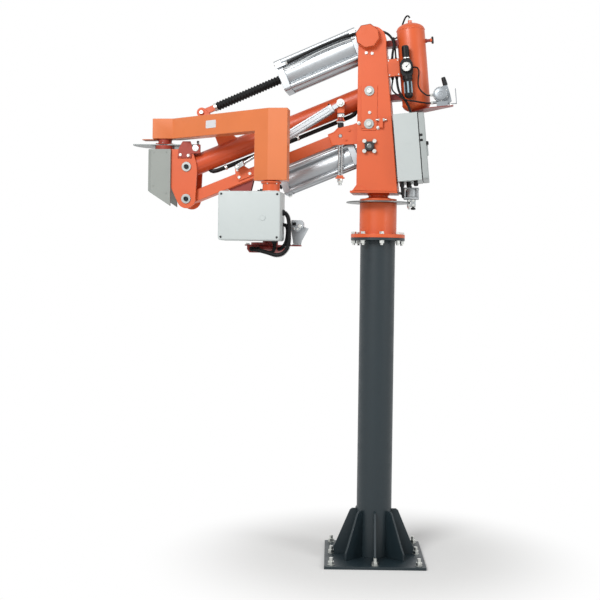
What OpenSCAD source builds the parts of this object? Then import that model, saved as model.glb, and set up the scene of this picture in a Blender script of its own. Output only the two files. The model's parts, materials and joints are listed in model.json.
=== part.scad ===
/* [Column] */
// Side of the square base plate
base_w = 545; // [500:1:640]
// Thickness of the base plate
base_t = 15; // [10:1:25]
// Distance from the column axis to each row of anchor holes
anchor_off = 235; // [225:1:245]
// Radius of the anchor holes
anchor_r = 11; // [8:0.5:13]
// Outside diameter of the column tube
col_d = 193.7; // [180:0.1:200]
// Wall of the column tube
col_wall = 8; // [5:0.5:12]
// Height of the face between the column flange and the slewing housing
col_top = 1770; // [1500:1:2000]
// How far the gusset plates reach from the column axis
gusset_reach = 223; // [205:1:240]
// Height of the gusset plates
gusset_h = 252; // [180:1:320]
// Thickness of the gusset plates
gusset_t = 12; // [8:1:16]
// Diameter of the bolted flanges
flange_d = 300; // [295:1:320]
// Thickness of the column flange
col_flange_t = 15; // [10:1:20]
// Bolt circle of the flanges
flange_pcd = 270; // [266:1:274]
// Number of flange bolts
flange_bolts = 8; // [6:1:12]
// Radius of the flange bolt holes
flange_hole_r = 9; // [7:0.5:9]

/* [Slewing unit] */
// Diameter of the slewing housing
housing_d = 206; // [190:1:215]
// Thickness of the housing flange
housing_flange_t = 20; // [14:1:24]
// Height of the slewing housing above the column flange
housing_h = 193; // [160:1:240]
// Diameter of the slewing brake disc
slew_disc_d = 356; // [330:1:380]
// Thickness of the brake discs
disc_t = 6; // [4:1:8]
// Radius of the slewing shaft
slew_shaft_r = 40; // [30:1:50]
// Gap between pieces that turn past each other
turn_gap = 5; // [5:0.5:8]
// Radial clearance of pins and shafts in their bores
fit = 0.05; // [0.02:0.01:0.1]
// Thickness of the turning plate under the tower's neck
hub_plate_t = 12; // [8:1:16]
// Height of the tower's neck
neck_h = 28; // [24:1:60]
// Radius of the tower's neck
neck_r = 55; // [48:1:62]

/* [Tower] */
// Angle by which the whole arm is turned about the column
arm_turn = 6; // [0:1:20]
// Clear width between the tower's side plates
tower_gap = 204; // [196:1:240]
// Thickness of the tower's side plates
tower_t = 10; // [8:1:14]
// Thickness of the tower's bottom plate
tower_bottom_t = 12; // [10:1:16]
// Thickness of the tower's rear plate
spine_t = 8; // [6:1:12]
// Distance from the column axis to the tower's front edge
tower_front = 115; // [108:1:125]
// Distance from the column axis to the rear edge, at the bottom
tower_rear_low = 109; // [100:1:118]
// Distance from the column axis to the rear edge, at the top
tower_rear_top = 37; // [32:1:44]
// Height of the tower from its bottom plate to the top of its straight rear edge
tower_straight_h = 786; // [776:1:800]

/* [Arm linkage] */
// Height of the arm pivot above the tower's bottom
arm_pivot_h = 556; // [546:1:566]
// Distance from the column axis to the arm pivot
pivot_back = 50; // [45:1:55]
// Distance between the arm pivot and the tie pivot
link_gap = 180; // [176:1:184]
// Length of the arm between its pivots
arm_len = 1105; // [1060:1:1150]
// Angle of the arm below the horizontal
arm_drop = 22; // [18:0.5:24]
// Outside diameter of the arm tube
arm_d = 114.3; // [108:0.1:118]
// Wall of the arm tube
arm_wall = 6; // [4:0.5:8]
// Radius of the main pivot pins
pin_r = 20; // [16:0.5:24]
// Height of the tie bar
tie_h = 62; // [56:1:66]
// Width of the tie bar
tie_w = 84; // [70:1:96]
// Wall of the tie bar
tie_wall = 5; // [4:0.5:8]

/* [Cylinders] */
// Side of the upper cylinder's square ends
up_sq = 180; // [170:1:184]
// Side of the lower cylinder's square ends
low_sq = 138; // [130:1:142]
// Length from a cylinder's rear pivot to its front face
barrel_len = 535; // [500:1:560]
// Distance of the upper rod pin from the arm's head pivot
up_pin_back = 182; // [175:1:200]
// Height of the upper rod pin above the arm's axis
up_pin_h = 262; // [255:1:270]
// Distance of the lower rod pin from the tie bar's head pivot
low_pin_back = 295; // [280:1:305]
// Depth of the lower rod pin below the tie bar's axis
low_pin_h = 118; // [112:1:124]
// Radius of the upper rod
up_rod_r = 16; // [12:1:18]
// Radius of the lower rod
low_rod_r = 14; // [10:1:16]
// Side of the locking cylinder's profile
lock_sq = 46; // [40:1:50]
// Distance of the side pin along the arm
side_pin_s = 170; // [160:1:180]
// Distance of the locking cylinder's rod end from the tie bar's head pivot
lock_back = 339; // [325:1:355]
// Height of that rod end above the tie bar's axis
lock_h = 54; // [48:1:60]

/* [Head] */
// Clear width between the head's side plates
head_gap = 124; // [120:1:130]
// Thickness of the head's side plates
head_t = 10; // [8:1:12]
// Distance from the head pivots to the elbow axis
elbow_back = 136; // [132:1:145]
// Distance of the elbow axis in front of the arm's middle plane
elbow_side = 28; // [26:0.5:29]
// Radius of the elbow shaft
elbow_r = 38; // [34:1:39]
// Radius of the elbow bearing housing
elbow_housing_r = 55; // [52:1:58]
// Diameter of the elbow brake disc
elbow_disc_d = 356; // [330:1:370]

/* [Forearm] */
// Width of the forearm beam
beam_w = 90; // [82:1:94]
// Height of the forearm beam
beam_h = 113; // [100:1:125]
// Wall of the forearm beam
beam_wall = 6; // [4:0.5:8]
// Distance from the elbow axis to the wrist axis, along the arm
wrist_along = 678; // [660:1:700]
// Distance from the elbow axis to the wrist axis, to the side
wrist_side = 406; // [396:1:430]
// Length of the beam's straight part beyond the elbow axis
hub_reach = 68; // [60:1:76]
// Height of the post that carries the wrist
post_h = 375; // [350:1:400]

/* [Wrist and tool] */
// Radius of the wrist swivel
wrist_r = 45; // [40:1:47]
// Length of the wrist swivel
wrist_h = 290; // [280:1:310]
// Width of the control box
box_w = 318; // [300:1:330]
// Height of the control box
box_h = 249; // [230:1:260]
// Depth of the control box's body
box_d = 100; // [90:1:104]
// Depth of the control box's lid
lid_d = 50; // [40:1:54]

/* [Cabinet and air supply] */
// Width of the control cabinet
cab_w = 300; // [280:1:320]
// Height of the control cabinet
cab_h = 366; // [340:1:380]
// Depth of the cabinet's body
cab_d = 132; // [120:1:140]
// Depth of the cabinet's door
door_d = 31; // [25:1:36]
// Sheet thickness of the cabinet
sheet = 2; // [1.5:0.5:3]
// Diameter of the air tank
tank_d = 155; // [140:1:160]
// Wall of the air tank
tank_wall = 4; // [3:0.5:6]
// Length of the air tank
tank_len = 495; // [460:1:500]

/* [Hidden] */
$fn = 48;

ORANGE = "#E2693F";
DEEP_RED = "#9C2A22";
DARK = "#2C3A40";
GREY = "#C9D1CF";
ALU = "#C4C8CC";
STEEL = "#9DA3A8";
ZINC = "#DADBD5";
BLACK = "#17191B";

// Heights of the slewing unit, from the floor up
housing_top = col_top + housing_h;
disc_top = housing_top + disc_t;
hub_low = disc_top + turn_gap;
tower_z = hub_low + hub_plate_t + neck_h;
plate_z = tower_z + tower_bottom_t;

// Pivots in the arm's middle plane, as [x, z], with x pointing away from the head
arm_pivot = [-pivot_back, tower_z + arm_pivot_h];
tie_pivot = [-pivot_back, arm_pivot.y - link_gap];
up_pivot = [-pivot_back - 12, arm_pivot.y + 295];
low_pivot = [-pivot_back + 5, arm_pivot.y - 302];

// A point s along and h above a bar that hangs from pivot p, and the bar's end pivots
function on_bar(p, s, h) = [
    p.x - s * cos(arm_drop) - h * sin(arm_drop),
    p.y - s * sin(arm_drop) + h * cos(arm_drop)
];
up_pin_s = arm_len - up_pin_back;
low_pin_s = arm_len - low_pin_back;
lock_s = arm_len - lock_back;
head_top = on_bar(arm_pivot, arm_len, 0);
head_low = on_bar(tie_pivot, arm_len, 0);
up_pin = on_bar(arm_pivot, up_pin_s, up_pin_h);
low_pin = on_bar(tie_pivot, low_pin_s, -low_pin_h);
side_pin = on_bar(arm_pivot, side_pin_s, 0);
lock_pin = on_bar(tie_pivot, lock_s, lock_h);

function drop_of(a, b) = atan2(a.y - b.y, a.x - b.x);
up_drop = drop_of(up_pivot, up_pin);
low_drop = drop_of(low_pivot, low_pin);
lock_drop = drop_of(side_pin, lock_pin);
up_len = norm(up_pivot - up_pin);
low_len = norm(low_pivot - low_pin);
lock_len = norm(side_pin - lock_pin);

// Elbow and wrist axes, as [x, y] in the arm's own frame
elbow = [head_top.x - elbow_back, -elbow_side];
wrist = elbow + [wrist_along, -wrist_side];
elbow_disc_z = head_top.y + 120;
beam_z = elbow_disc_z + 37;
beam_top = beam_z + beam_h;
post_low = beam_top - post_h;
wrist_top = post_low - turn_gap;
wrist_low = wrist_top - wrist_h;

// Outer faces of the side plates
tower_y = tower_gap / 2 + tower_t;
head_y = head_gap / 2 + head_t;
lean = atan2(tower_rear_low - tower_rear_top, tower_straight_h);

// Frames
module in_arm_plane() rotate([0, 0, -arm_turn]) children();
module at_bar(p, drop) in_arm_plane() translate([p.x, 0, p.y]) rotate([0, drop, 180]) children();
function rear_x(z) = tower_rear_low - (z - tower_z) * tan(lean);
// A point x behind and z along the rear plate from the height z0, as [x, z]
function rear_at(z0, x, z) = [
    rear_x(z0) + x * cos(lean) - z * sin(lean), z0 + x * sin(lean) + z * cos(lean)
];
module on_rear(z) in_arm_plane() translate([rear_x(z), 0, z]) rotate([0, -lean, 0]) children();
module flat(y0, y1) translate([0, y1, 0]) rotate([90, 0, 0]) linear_extrude(y1 - y0) children();
module cross(r, y0, y1) translate([0, y0, 0]) rotate([-90, 0, 0]) cylinder(r = r, h = y1 - y0);
module along(r, x0, x1) translate([x0, 0, 0]) rotate([0, 90, 0]) cylinder(r = r, h = x1 - x0);
module block(x, y, z) translate([x[0], y[0], z[0]]) cube([x[1] - x[0], y[1] - y[0], z[1] - z[0]]);

// ---- Column ----

module base_plate() color(DARK) difference() {
    block([-base_w / 2, base_w / 2], [-base_w / 2, base_w / 2], [0, base_t]);
    for (i = [-1, 0, 1], j = [-1, 0, 1]) if (i != 0 || j != 0)
        translate([i * anchor_off, j * anchor_off, -1]) cylinder(r = anchor_r, h = base_t + 2);
}

module column_tube() color(DARK) translate([0, 0, base_t]) difference() {
    cylinder(d = col_d, h = col_top - col_flange_t - base_t, $fn = 96);
    translate([0, 0, -1]) cylinder(d = col_d - 2 * col_wall, h = col_top, $fn = 96);
}

module column_gussets() color(DARK) difference() {
    for (a = [0 : 45 : 315]) rotate([0, 0, a]) translate([0, 0, base_t])
        flat(-gusset_t / 2, gusset_t / 2) polygon([
            [col_d / 2 - 5, 0], [gusset_reach, 0], [gusset_reach, 40],
            [gusset_reach - 12, 62], [col_d / 2 + 38, gusset_h - 10],
            [col_d / 2 + 26, gusset_h], [col_d / 2 - 5, gusset_h]
        ]);
    cylinder(d = col_d, h = col_top, $fn = 96);
}

module flange_holes(z0, z1) {
    for (i = [0 : flange_bolts - 1]) rotate([0, 0, 6.7 + i * 360 / flange_bolts])
        translate([flange_pcd / 2, 0, z0]) cylinder(r = flange_hole_r, h = z1 - z0);
}

module column_flange() color(DARK) difference() {
    translate([0, 0, col_top - col_flange_t]) cylinder(d = flange_d, h = col_flange_t, $fn = 96);
    flange_holes(col_top - col_flange_t - 1, col_top + 1);
}

// ---- Slewing unit ----

module slew_housing() color(ORANGE) difference() {
    union() {
        translate([0, 0, col_top]) cylinder(d = flange_d, h = housing_flange_t, $fn = 96);
        translate([0, 0, col_top]) cylinder(d = housing_d, h = housing_h, $fn = 96);
    }
    flange_holes(col_top - 1, col_top + housing_flange_t + 1);
    translate([0, 0, col_top + housing_flange_t]) cylinder(r = slew_shaft_r + fit, h = housing_h);
}

module slew_disc() color(STEEL) translate([0, 0, housing_top]) difference() {
    cylinder(d = slew_disc_d, h = disc_t, $fn = 120);
    translate([0, 0, -1]) cylinder(r = slew_shaft_r + turn_gap, h = disc_t + 2);
}

module slew_hub() color(ORANGE) in_arm_plane() rotate_extrude($fn = 96) polygon([
    [0, col_top + housing_flange_t + 10],
    [slew_shaft_r, col_top + housing_flange_t + 10],
    [slew_shaft_r, hub_low],
    [housing_d / 2, hub_low],
    [housing_d / 2, hub_low + hub_plate_t],
    [housing_d / 2 - 18, hub_low + hub_plate_t],
    [neck_r + 3, hub_low + hub_plate_t + 9],
    [neck_r, hub_low + hub_plate_t + 10],
    [neck_r, tower_z - 10],
    [neck_r + 11, tower_z],
    [0, tower_z]
]);

// Brake calliper: a diaphragm actuator between two flanges, above the jaws that grip the disc
module slew_brake() color(ALU) in_arm_plane() {
    r = slew_disc_d / 2;
    top = tower_z + 36;
    low = disc_top + turn_gap;
    block([r - 36, r + 46], [-36, 36], [top - 8, top]);
    translate([r + 5, 0, low + 18]) cylinder(r = 33, h = top - low - 20, $fn = 48);
    for (x = [-34, 44], y = [-34, 34]) translate([r + x * 0.9 + 0.5, y * 0.84, low + 18])
        cylinder(r = 5, h = top - low - 20, $fn = 16);
    block([r - 36, r + 46], [-36, 36], [low + 12, low + 24]);
    block([r - 18, r + 29], [-25, 25], [low, low + 12]);
    block([r + turn_gap, r + 29], [-25, 25], [housing_top - 17, low]);
    block([r - 18, r + turn_gap], [-25, 25], [housing_top - 17, housing_top - turn_gap]);
    block([tower_rear_low, r - 36], [-30, 30], [tower_z, plate_z]);
    block([r - 38, r - 34], [-30, 30], [low + 12, plate_z]);
}

// ---- Tower ----

module side_profile() {
    top_z = tower_z + tower_straight_h;
    union() {
        polygon([
            [-tower_front - 22, plate_z], [rear_x(plate_z), plate_z],
            [tower_rear_top, top_z], [tower_rear_top, top_z + 50],
            [-tower_front, top_z + 50], [-tower_front, plate_z + 32]
        ]);
        translate([(tower_rear_top - tower_front) / 2, top_z + 50])
            circle(r = (tower_rear_top + tower_front) / 2, $fn = 96);
    }
}

strap_w = 88;

module tower_side(y0, y1) {
    difference() {
        flat(y0, y1) side_profile();
        for (p = [arm_pivot, tie_pivot, up_pivot, low_pivot])
            translate([p.x, 0, p.y]) cross(pin_r + fit, y0 - 1, y1 + 1);
    }
}

module strap(y0, y1) difference() {
    flat(y0, y1) translate([-pivot_back, 0]) {
        translate([-strap_w / 2, tie_pivot.y]) square([strap_w, link_gap + 30]);
        translate([-strap_w / 2 + 14, tie_pivot.y - 35]) square([strap_w - 28, 40]);
        for (k = [-1, 1]) translate([k * (strap_w / 2 - 14), tie_pivot.y - 21]) circle(r = 14);
        translate([-strap_w / 2, tie_pivot.y - 21]) square([strap_w, 30]);
    }
    for (p = [arm_pivot, tie_pivot])
        translate([p.x, 0, p.y]) cross(pin_r + fit, y0 - 1, y1 + 1);
}

module tower_front_plate() color(ORANGE) in_arm_plane() {
    tower_side(-tower_y, -tower_gap / 2);
    strap(-tower_y - 6, -tower_y);
}

module tower_back_plate() color(ORANGE) in_arm_plane() {
    tower_side(tower_gap / 2, tower_y);
    strap(tower_y, tower_y + 6);
}

module tower_spine() color(ORANGE) in_arm_plane() {
    g = tower_gap / 2;
    top_z = tower_z + tower_straight_h;
    r = (tower_rear_top + tower_front) / 2;
    block([-tower_front - 35, tower_rear_low], [-tower_y, tower_y], [tower_z, plate_z]);
    flat(-g, g) polygon([
        [rear_x(plate_z) - spine_t, plate_z], [rear_x(plate_z), plate_z],
        [tower_rear_top, top_z], [tower_rear_top, top_z + 50],
        [tower_rear_top - spine_t, top_z + 50], [tower_rear_top - spine_t, top_z]
    ]);
    difference() {
        translate([(tower_rear_top - tower_front) / 2, 0, top_z + 50]) cross(r, -g, g);
        translate([(tower_rear_top - tower_front) / 2, 0, top_z + 50]) cross(r - 5, -g - 1, g + 1);
        block([-2 * r, 2 * r], [-g - 1, g + 1], [top_z - r, top_z + 50]);
        block([-3 * r, -tower_front / 2], [-g - 1, g + 1], [top_z, top_z + 3 * r]);
        block([-15, tower_rear_top - 12], [-g - 1, g - 70], [top_z + 50, top_z + 3 * r]);
    }
}

cap_r = 68;
cap_t = 35;
bearing_bolt_r = 39;

module tower_pins() color(ZINC) in_arm_plane() {
    for (p = [arm_pivot, tie_pivot]) translate([p.x, 0, p.y]) {
        cross(pin_r, -tower_y - 6, tower_y + 6);
        cross(27, -tower_y - 12, -tower_y - 6);
        cross(27, tower_y + 6, tower_y + 12);
    }
    for (p = [up_pivot, low_pivot]) translate([p.x, 0, p.y])
        cross(pin_r, -tower_y, tower_y);
}

module pivot_caps() color(ORANGE) in_arm_plane()
    for (m = [0, 1]) mirror([0, m, 0]) translate([up_pivot.x, 0, up_pivot.y]) rotate([0, 12, 0]) {
        flat(-tower_y - cap_t, -tower_y) circle(r = cap_r, $fn = 8);
        flat(-tower_y - cap_t - 3, -tower_y - cap_t) circle(r = cap_r - 4, $fn = 8);
    }

// Four-bolt flange bearings of the lower cylinder's pivot
module pivot_bearings() color(BLACK) in_arm_plane()
    for (m = [0, 1]) mirror([0, m, 0]) translate([low_pivot.x, 0, low_pivot.y]) {
        flat(-tower_y - 12, -tower_y) {
            for (a = [45, 135]) rotate(a) {
                square([2 * bearing_bolt_r, 20], center = true);
                for (k = [-1, 1]) translate([k * bearing_bolt_r, 0]) circle(r = 10);
            }
            circle(r = 27);
        }
        difference() {
            cross(25, -tower_y - 24, -tower_y - 12);
            cross(14, -tower_y - 25, -tower_y - 18);
        }
    }

// ---- On the tower's back ----

jbox_z = arm_pivot.y + 127;
jbox_h = 94;
jbox_d = 66;

module junction_box() color(ORANGE) on_rear(jbox_z) difference() {
    union() {
        block([1, jbox_d - 1], [-tower_y + 20, -tower_y + 68], [1 - jbox_h / 2, jbox_h / 2 - 1]);
        block([0, jbox_d], [-tower_y + 8, -tower_y + 20], [-jbox_h / 2, jbox_h / 2]);
    }
    for (x = [8, jbox_d - 8], z = [8 - jbox_h / 2, jbox_h / 2 - 8])
        translate([x, 0, z]) cross(4, -tower_y, -tower_y + 12);
}

tank_z = arm_pivot.y + 134;
tank_x = tank_d / 2 + 62;

module tank_profile(t = 0) {
    r = tank_d / 2 - t;
    k = 40 - t;
    h = tank_len / 2 - t;
    polygon(concat(
        [[0, -h]],
        [for (a = [-90 : 9 : 0]) [r * cos(a), -h + k + k * sin(a)]],
        [for (a = [0 : 9 : 90]) [r * cos(a), h - k + k * sin(a)]],
        [[0, h]]
    ));
}

module air_tank() color(ORANGE) on_rear(tank_z) translate([tank_x, 0, 0]) {
    difference() {
        rotate_extrude($fn = 64) tank_profile();
        rotate_extrude($fn = 64) tank_profile(tank_wall);
    }
    translate([0, 0, tank_len / 2 - 2]) cylinder(r = 12, h = 18);
    translate([0, 0, tank_len / 2 + 10]) cylinder(r = 8, h = 14);
    translate([0, 0, tank_len / 2 - 105]) {
        along(7, tank_d / 2 - 2, tank_d / 2 + 26);
        along(11, tank_d / 2 + 26, tank_d / 2 + 36);
        block([tank_d / 2 + 34, tank_d / 2 + 44], [-8, 8], [-18, 18]);
    }
}

// The room the tank's wall takes, cut from what is fastened to it
module tank_room() on_rear(tank_z) translate([tank_x, 0, 0]) rotate_extrude($fn = 64) tank_profile();

shelf_top = 2 - tank_len / 2;
valve_x = 277;
valve_y = -tower_gap / 2 - 12;

// Two cradles welded to the rear plate, and the thin shelf under the tank and the hand valve
module tank_brackets() color(DEEP_RED) difference() {
    on_rear(tank_z) {
        for (z = [-175, 123]) difference() {
            block([0, tank_x], [-34, 34], [z, z + 34]);
            block([-1, tank_x], [-28, 28], [z + 6, z + 28]);
        }
        translate([0, 0, shelf_top - 4]) linear_extrude(4) polygon([
            [tank_x - 30, 25], [tank_x + 50, 25], [valve_x + 63, valve_y + 20], [valve_x + 63, valve_y - 20],
            [tank_x + 55, valve_y - 20], [tank_x - 30, -40]
        ]);
    }
    tank_room();
    in_arm_plane() flat(-tower_y, tower_y) side_profile();
}

reg_x = tank_x - 35;
reg_y = -tank_d / 2 - 34;
reg_z = -18;

// Filter and pressure regulator: knob, body, gauge and bowl, on a stem from the tank
module air_regulator() color(BLACK) difference() {
    on_rear(tank_z) translate([reg_x, reg_y, reg_z]) {
        flat(-26, 26) polygon([
            [-34, -20], [-34, 20], [-24, 42], [24, 42], [34, 20], [34, -20], [24, -46], [-24, -46]
        ]);
        translate([0, 0, 42]) cylinder(r = 17, h = 8);
        translate([0, 0, 50]) cylinder(r = 19, h = 66);
        translate([0, 0, 116]) cylinder(r1 = 19, r2 = 15, h = 6);
        rotate_extrude() polygon([
            [0, -166], [12, -166], [23, -154], [23, -66], [27, -64], [27, -46], [0, -46]
        ]);
        difference() {
            cross(29, -46, -26);
            cross(26, -47, -42);
        }
        block([-22, 22], [26, 60], [-24, 24]);
    }
    tank_room();
}

// Round diaphragm valve with a cast body behind it, its tilted knob and its side bracket
module hand_valve() color(ALU) on_rear(tank_z) translate([valve_x, valve_y, shelf_top]) {
    block([-26, 34], [-18, 18], [0, 26]);
    translate([0, 0, 66]) {
        cross(41, -14, 10);
        cross(34, -22, -14);
    }
    flat(2, 22) polygon([
        [-24, 20], [-30, 50], [-12, 96], [14, 112], [40, 112], [50, 70], [56, 26], [34, 8]
    ]);
    translate([31, 12, 106]) rotate([0, -12, 0]) {
        cylinder(r = 8, h = 12);
        translate([0, 0, 10]) cylinder(r1 = 12.5, r2 = 10.5, h = 44);
    }
    for (z = [24, 66]) translate([-56, -2, z]) rotate([0, 90, 0]) cylinder(r = 7, h = 34);
    block([30, 83], [4, 8], [8, 13]);
    block([79, 83], [-14, 14], [8, 90]);
}

cab_low = tower_z + 58;
cab_z = cab_low + cab_h / 2;
cab_off = 10;
door_x = cab_off + cab_d + turn_gap;

module cabinet_body() color(GREY) on_rear(cab_z) {
    w = cab_w / 2;
    h = cab_h / 2;
    difference() {
        block([cab_off, cab_off + cab_d], [-w, w], [-h, h]);
        block([cab_off + sheet, cab_off + cab_d + 1], [-w + sheet, w - sheet], [-h + sheet, h - sheet]);
    }
    for (z = [-h + 30, h - 60]) block([0, cab_off], [-80, 80], [z, z + 30]);
    for (z = [-h + 50, h - 90]) {
        block([cab_off + cab_d - 30, cab_off + cab_d], [w, w + 4], [z, z + 20]);
        translate([door_x - 2.5, w + 7, z]) cylinder(r = 3, h = 62);
        block([cab_off + cab_d - 6, door_x - 2.5], [w + 2, w + 9], [z, z + 20]);
    }
}

module cabinet_door() color(GREY) on_rear(cab_z) {
    w = cab_w / 2;
    h = cab_h / 2;
    difference() {
        block([door_x, door_x + door_d], [-w, w], [-h, h]);
        block([door_x - 1, door_x + door_d - sheet], [-w + sheet, w - sheet], [-h + sheet, h - sheet]);
    }
    for (z = [-h + 50, h - 90]) difference() {
        translate([door_x - 2.5, w + 7, z + 22]) cylinder(r = 6, h = 40);
        translate([door_x - 2.5, w + 7, z]) cylinder(r = 3 + fit, h = 90);
    }
    for (z = [-h + 72, h - 68]) block([door_x, door_x + 20], [w, w + 3], [z, z + 40]);
    block([door_x + door_d, door_x + door_d + 14], [-w + 8, -w + 40], [2, 24]);
}

// Distance along the rear plate from the tank's middle up to another height
function up_rear(z) = (z - tank_z) / cos(lean);

// Hoses that stay on the tower, each between two fittings
module tower_hoses() color(BLACK) {
    y = -tower_y + 44;
    top = rear_at(jbox_z, 28, jbox_h / 2);
    in_arm_plane() sweep([
        [-28, -58, top.y + 144], [-14, -60, top.y + 156], [4, -62, top.y + 161], [24, -65, top.y + 156],
        [44, -68, top.y + 145], [62, y, top.y + 128], [74, y, top.y + 106], [79, y, top.y + 78],
        [top.x, y, top.y + 38], [top.x, y, top.y]
    ], 7);
    on_rear(tank_z) {
        box_top = up_rear(jbox_z) + jbox_h / 2;
        box_low = up_rear(jbox_z) - jbox_h / 2;
        cab = up_rear(cab_z) + cab_h / 2;
        h = tank_len / 2;
        port_x = valve_x - 56;
        port_y = valve_y - 2;
        sweep([
            [tank_x, 0, h + 24], [tank_x, 0, h + 34], [tank_x - 8, 3, h + 45], [tank_x - 18, 9, h + 44],
            [tank_x - 30, 20, h + 30], [tank_x - 42, 38, h + 8], [tank_x - 60, 62, h - 30],
            [tank_x - 72, 62, h - 52], [tank_x - 88, 44, h - 68], [tank_x - 97, 8, h - 72],
            [tank_x - 97, -30, h - 76], [tank_x - 95, -48, h - 88], [50, -53, h - 108],
            [48, -56, h - 140], [48, -56, box_top]
        ], 5);
        sweep([
            [45, y, box_low], [45, y - 2, box_low - 22], [47, y - 8, box_low - 56],
            [52, y - 14, box_low - 84],
            [66, -88, -165], [84, -90, -192], [97, -90, -222], [106, -90, -250], [106, -90, cab]
        ], 7);
        sweep([
            [22, y, box_low], [22, y - 2, box_low - 20], [15, y - 8, box_low - 46],
            [14, y - 14, box_low - 68],
            [24, -88, -140], [42, -94, -157], [72, -103, -182], [100, -110, -196], [130, -114, -202],
            [165, port_y, -212], [port_x - 18, port_y, shelf_top + 24], [port_x, port_y, shelf_top + 24]
        ], 4.5);
        translate([reg_x, reg_y, reg_z]) sweep([
            [34, 0, 0], [50, 0, 0], [60, 0, -6], [65, 0, -20], [64, 0, -38], [58, 0, -65], [54, 0, -92],
            [57, 0, -112], [67, -2, -132], [83, port_y - reg_y, -149],
            [port_x - reg_x - 18, port_y - reg_y, shelf_top + 66 - reg_z],
            [port_x - reg_x, port_y - reg_y, shelf_top + 66 - reg_z]
        ], 4.5);
    }
}

// ---- Arm ----

module arm_tube() color(ORANGE) at_bar(arm_pivot, arm_drop) difference() {
    union() {
        along(arm_d / 2, 16, arm_len - 16, $fn = 96);
        cross(48, -tower_gap / 2 + 3, tower_gap / 2 - 3);
        translate([arm_len, 0, 0]) cross(44, -head_gap / 2 + 3, head_gap / 2 - 3);
    }
    along(arm_d / 2 - arm_wall, 60, arm_len - 60, $fn = 96);
    cross(pin_r + fit, -tower_gap, tower_gap);
    translate([arm_len, 0, 0]) cross(pin_r + fit, -head_gap, head_gap);
    translate([side_pin_s, 0, 0]) cross(10, 0, arm_d);
}

module arm_bracket() color(ORANGE) at_bar(arm_pivot, arm_drop) difference() {
    for (m = [0, 1]) mirror([0, m, 0]) {
        flat(15, 23) polygon([
            [up_pin_s - 140, 40], [up_pin_s - 22, 40], [up_pin_s - 22, up_pin_h - 57],
            [up_pin_s + 20, up_pin_h - 19], [up_pin_s - 18, up_pin_h + 21]
        ]);
        translate([up_pin_s, 0, up_pin_h]) cross(28, 15, 23);
        translate([up_pin_s, 0, up_pin_h]) cross(14, 23, 31);
    }
    along(arm_d / 2, 0, arm_len, $fn = 96);
}

module arm_side_pin() color(ZINC) at_bar(arm_pivot, arm_drop) translate([side_pin_s, 0, 0]) {
    cross(10, 40, 112);
    cross(22, 112, 118);
}

// A round tube swept along points; each ring's sideways direction follows from the one before
function dir_at(pts, i) = let (
    a = pts[max(i - 1, 0)], b = pts[min(i + 1, len(pts) - 1)], v = b - a
) v / norm(v);
function square_to(u, d) = let (w = u - (u * d) * d) w / norm(w);
function ring_sides(pts, i, u) = i == len(pts) ? [] : let (
    w = square_to(u, dir_at(pts, i))
) concat([w], ring_sides(pts, i + 1, w));
module sweep(pts, r, n = 10) {
    m = len(pts);
    across = ring_sides(pts, 0, [0, 1, 0]);
    rings = [for (i = [0 : m - 1], j = [0 : n - 1]) let (a = 360 * j / n, d = dir_at(pts, i))
        pts[i] + r * cos(a) * across[i] + r * sin(a) * cross(d, across[i])];
    sides = [for (i = [0 : m - 2], j = [0 : n - 1]) let (k = (j + 1) % n)
        [i * n + j, (i + 1) * n + j, (i + 1) * n + k, i * n + k]];
    first = [[for (j = [0 : n - 1]) j]];
    last = [[for (j = [n - 1 : -1 : 0]) (m - 1) * n + j]];
    polyhedron(rings, concat(first, sides, last));
}

conduit_pts = [
    [112, 2, -52], [116, 2, -62], [126, 2, -70], [150, 2, -74], [300, 2, -75], [450, 2, -76],
    [600, 2, -77], [750, 2, -76], [900, 2, -75], [arm_len - 145, 2, -74], [arm_len - 121, 2, -70],
    [arm_len - 111, 2, -62], [arm_len - 107, 2, -52]
];

module arm_conduit() color(BLACK) at_bar(arm_pivot, arm_drop) difference() {
    sweep(conduit_pts, 12);
    along(arm_d / 2, 0, arm_len, $fn = 96);
}

// ---- Tie bar and what it carries ----

module tie_bar() color(ORANGE) at_bar(tie_pivot, arm_drop) difference() {
    w = tie_w / 2;
    g = tower_gap / 2 - 3;
    union() {
        block([75, arm_len - 60], [-w, w], [-tie_h / 2, tie_h / 2]);
        cross(36, -g, g);
        block([0, 90], [-w, w], [-tie_h / 2, tie_h / 2]);
        translate([arm_len, 0, 0]) cross(34, -head_gap / 2 + 3, head_gap / 2 - 3);
        block([arm_len - 70, arm_len], [-w, w], [-tie_h / 2, tie_h / 2]);
        flat(g - 7, g) polygon([
            [0, 36], [80, 33], [165, 45], [196, tie_h / 2], [230, tie_h / 2],
            [230, -tie_h / 2], [86, -tie_h / 2 - 50], [40, -58], [0, -36]
        ]);
        block([60, 220], [0, g - 3], [-5, 5]);
    }
    block([100, arm_len - 100], [-w + tie_wall, w - tie_wall],
        [-tie_h / 2 + tie_wall, tie_h / 2 - tie_wall]);
    cross(pin_r + fit, -tower_gap, tower_gap);
    translate([arm_len, 0, 0]) cross(pin_r + fit, -head_gap, head_gap);
    translate([side_pin_s, 0, 0]) cross(10 + fit, w, tower_gap);
    translate([side_pin_s, 0, 0]) block([-44, 44], [w, g - 7], [-80, 80]);
}

module tie_bracket() color(DEEP_RED) at_bar(tie_pivot, arm_drop) {
    for (m = [0, 1]) mirror([0, m, 0]) {
        flat(15, 23) polygon([
            [low_pin_s - 94, -tie_h / 2], [low_pin_s + 58, -tie_h / 2],
            [low_pin_s + 26, -low_pin_h - 8], [low_pin_s - 20, -low_pin_h - 18]
        ]);
        translate([low_pin_s, 0, -low_pin_h]) cross(27, 15, 23);
        translate([low_pin_s, 0, -low_pin_h]) cross(13, 23, 31);
    }
}

lock_y = 85;

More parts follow.
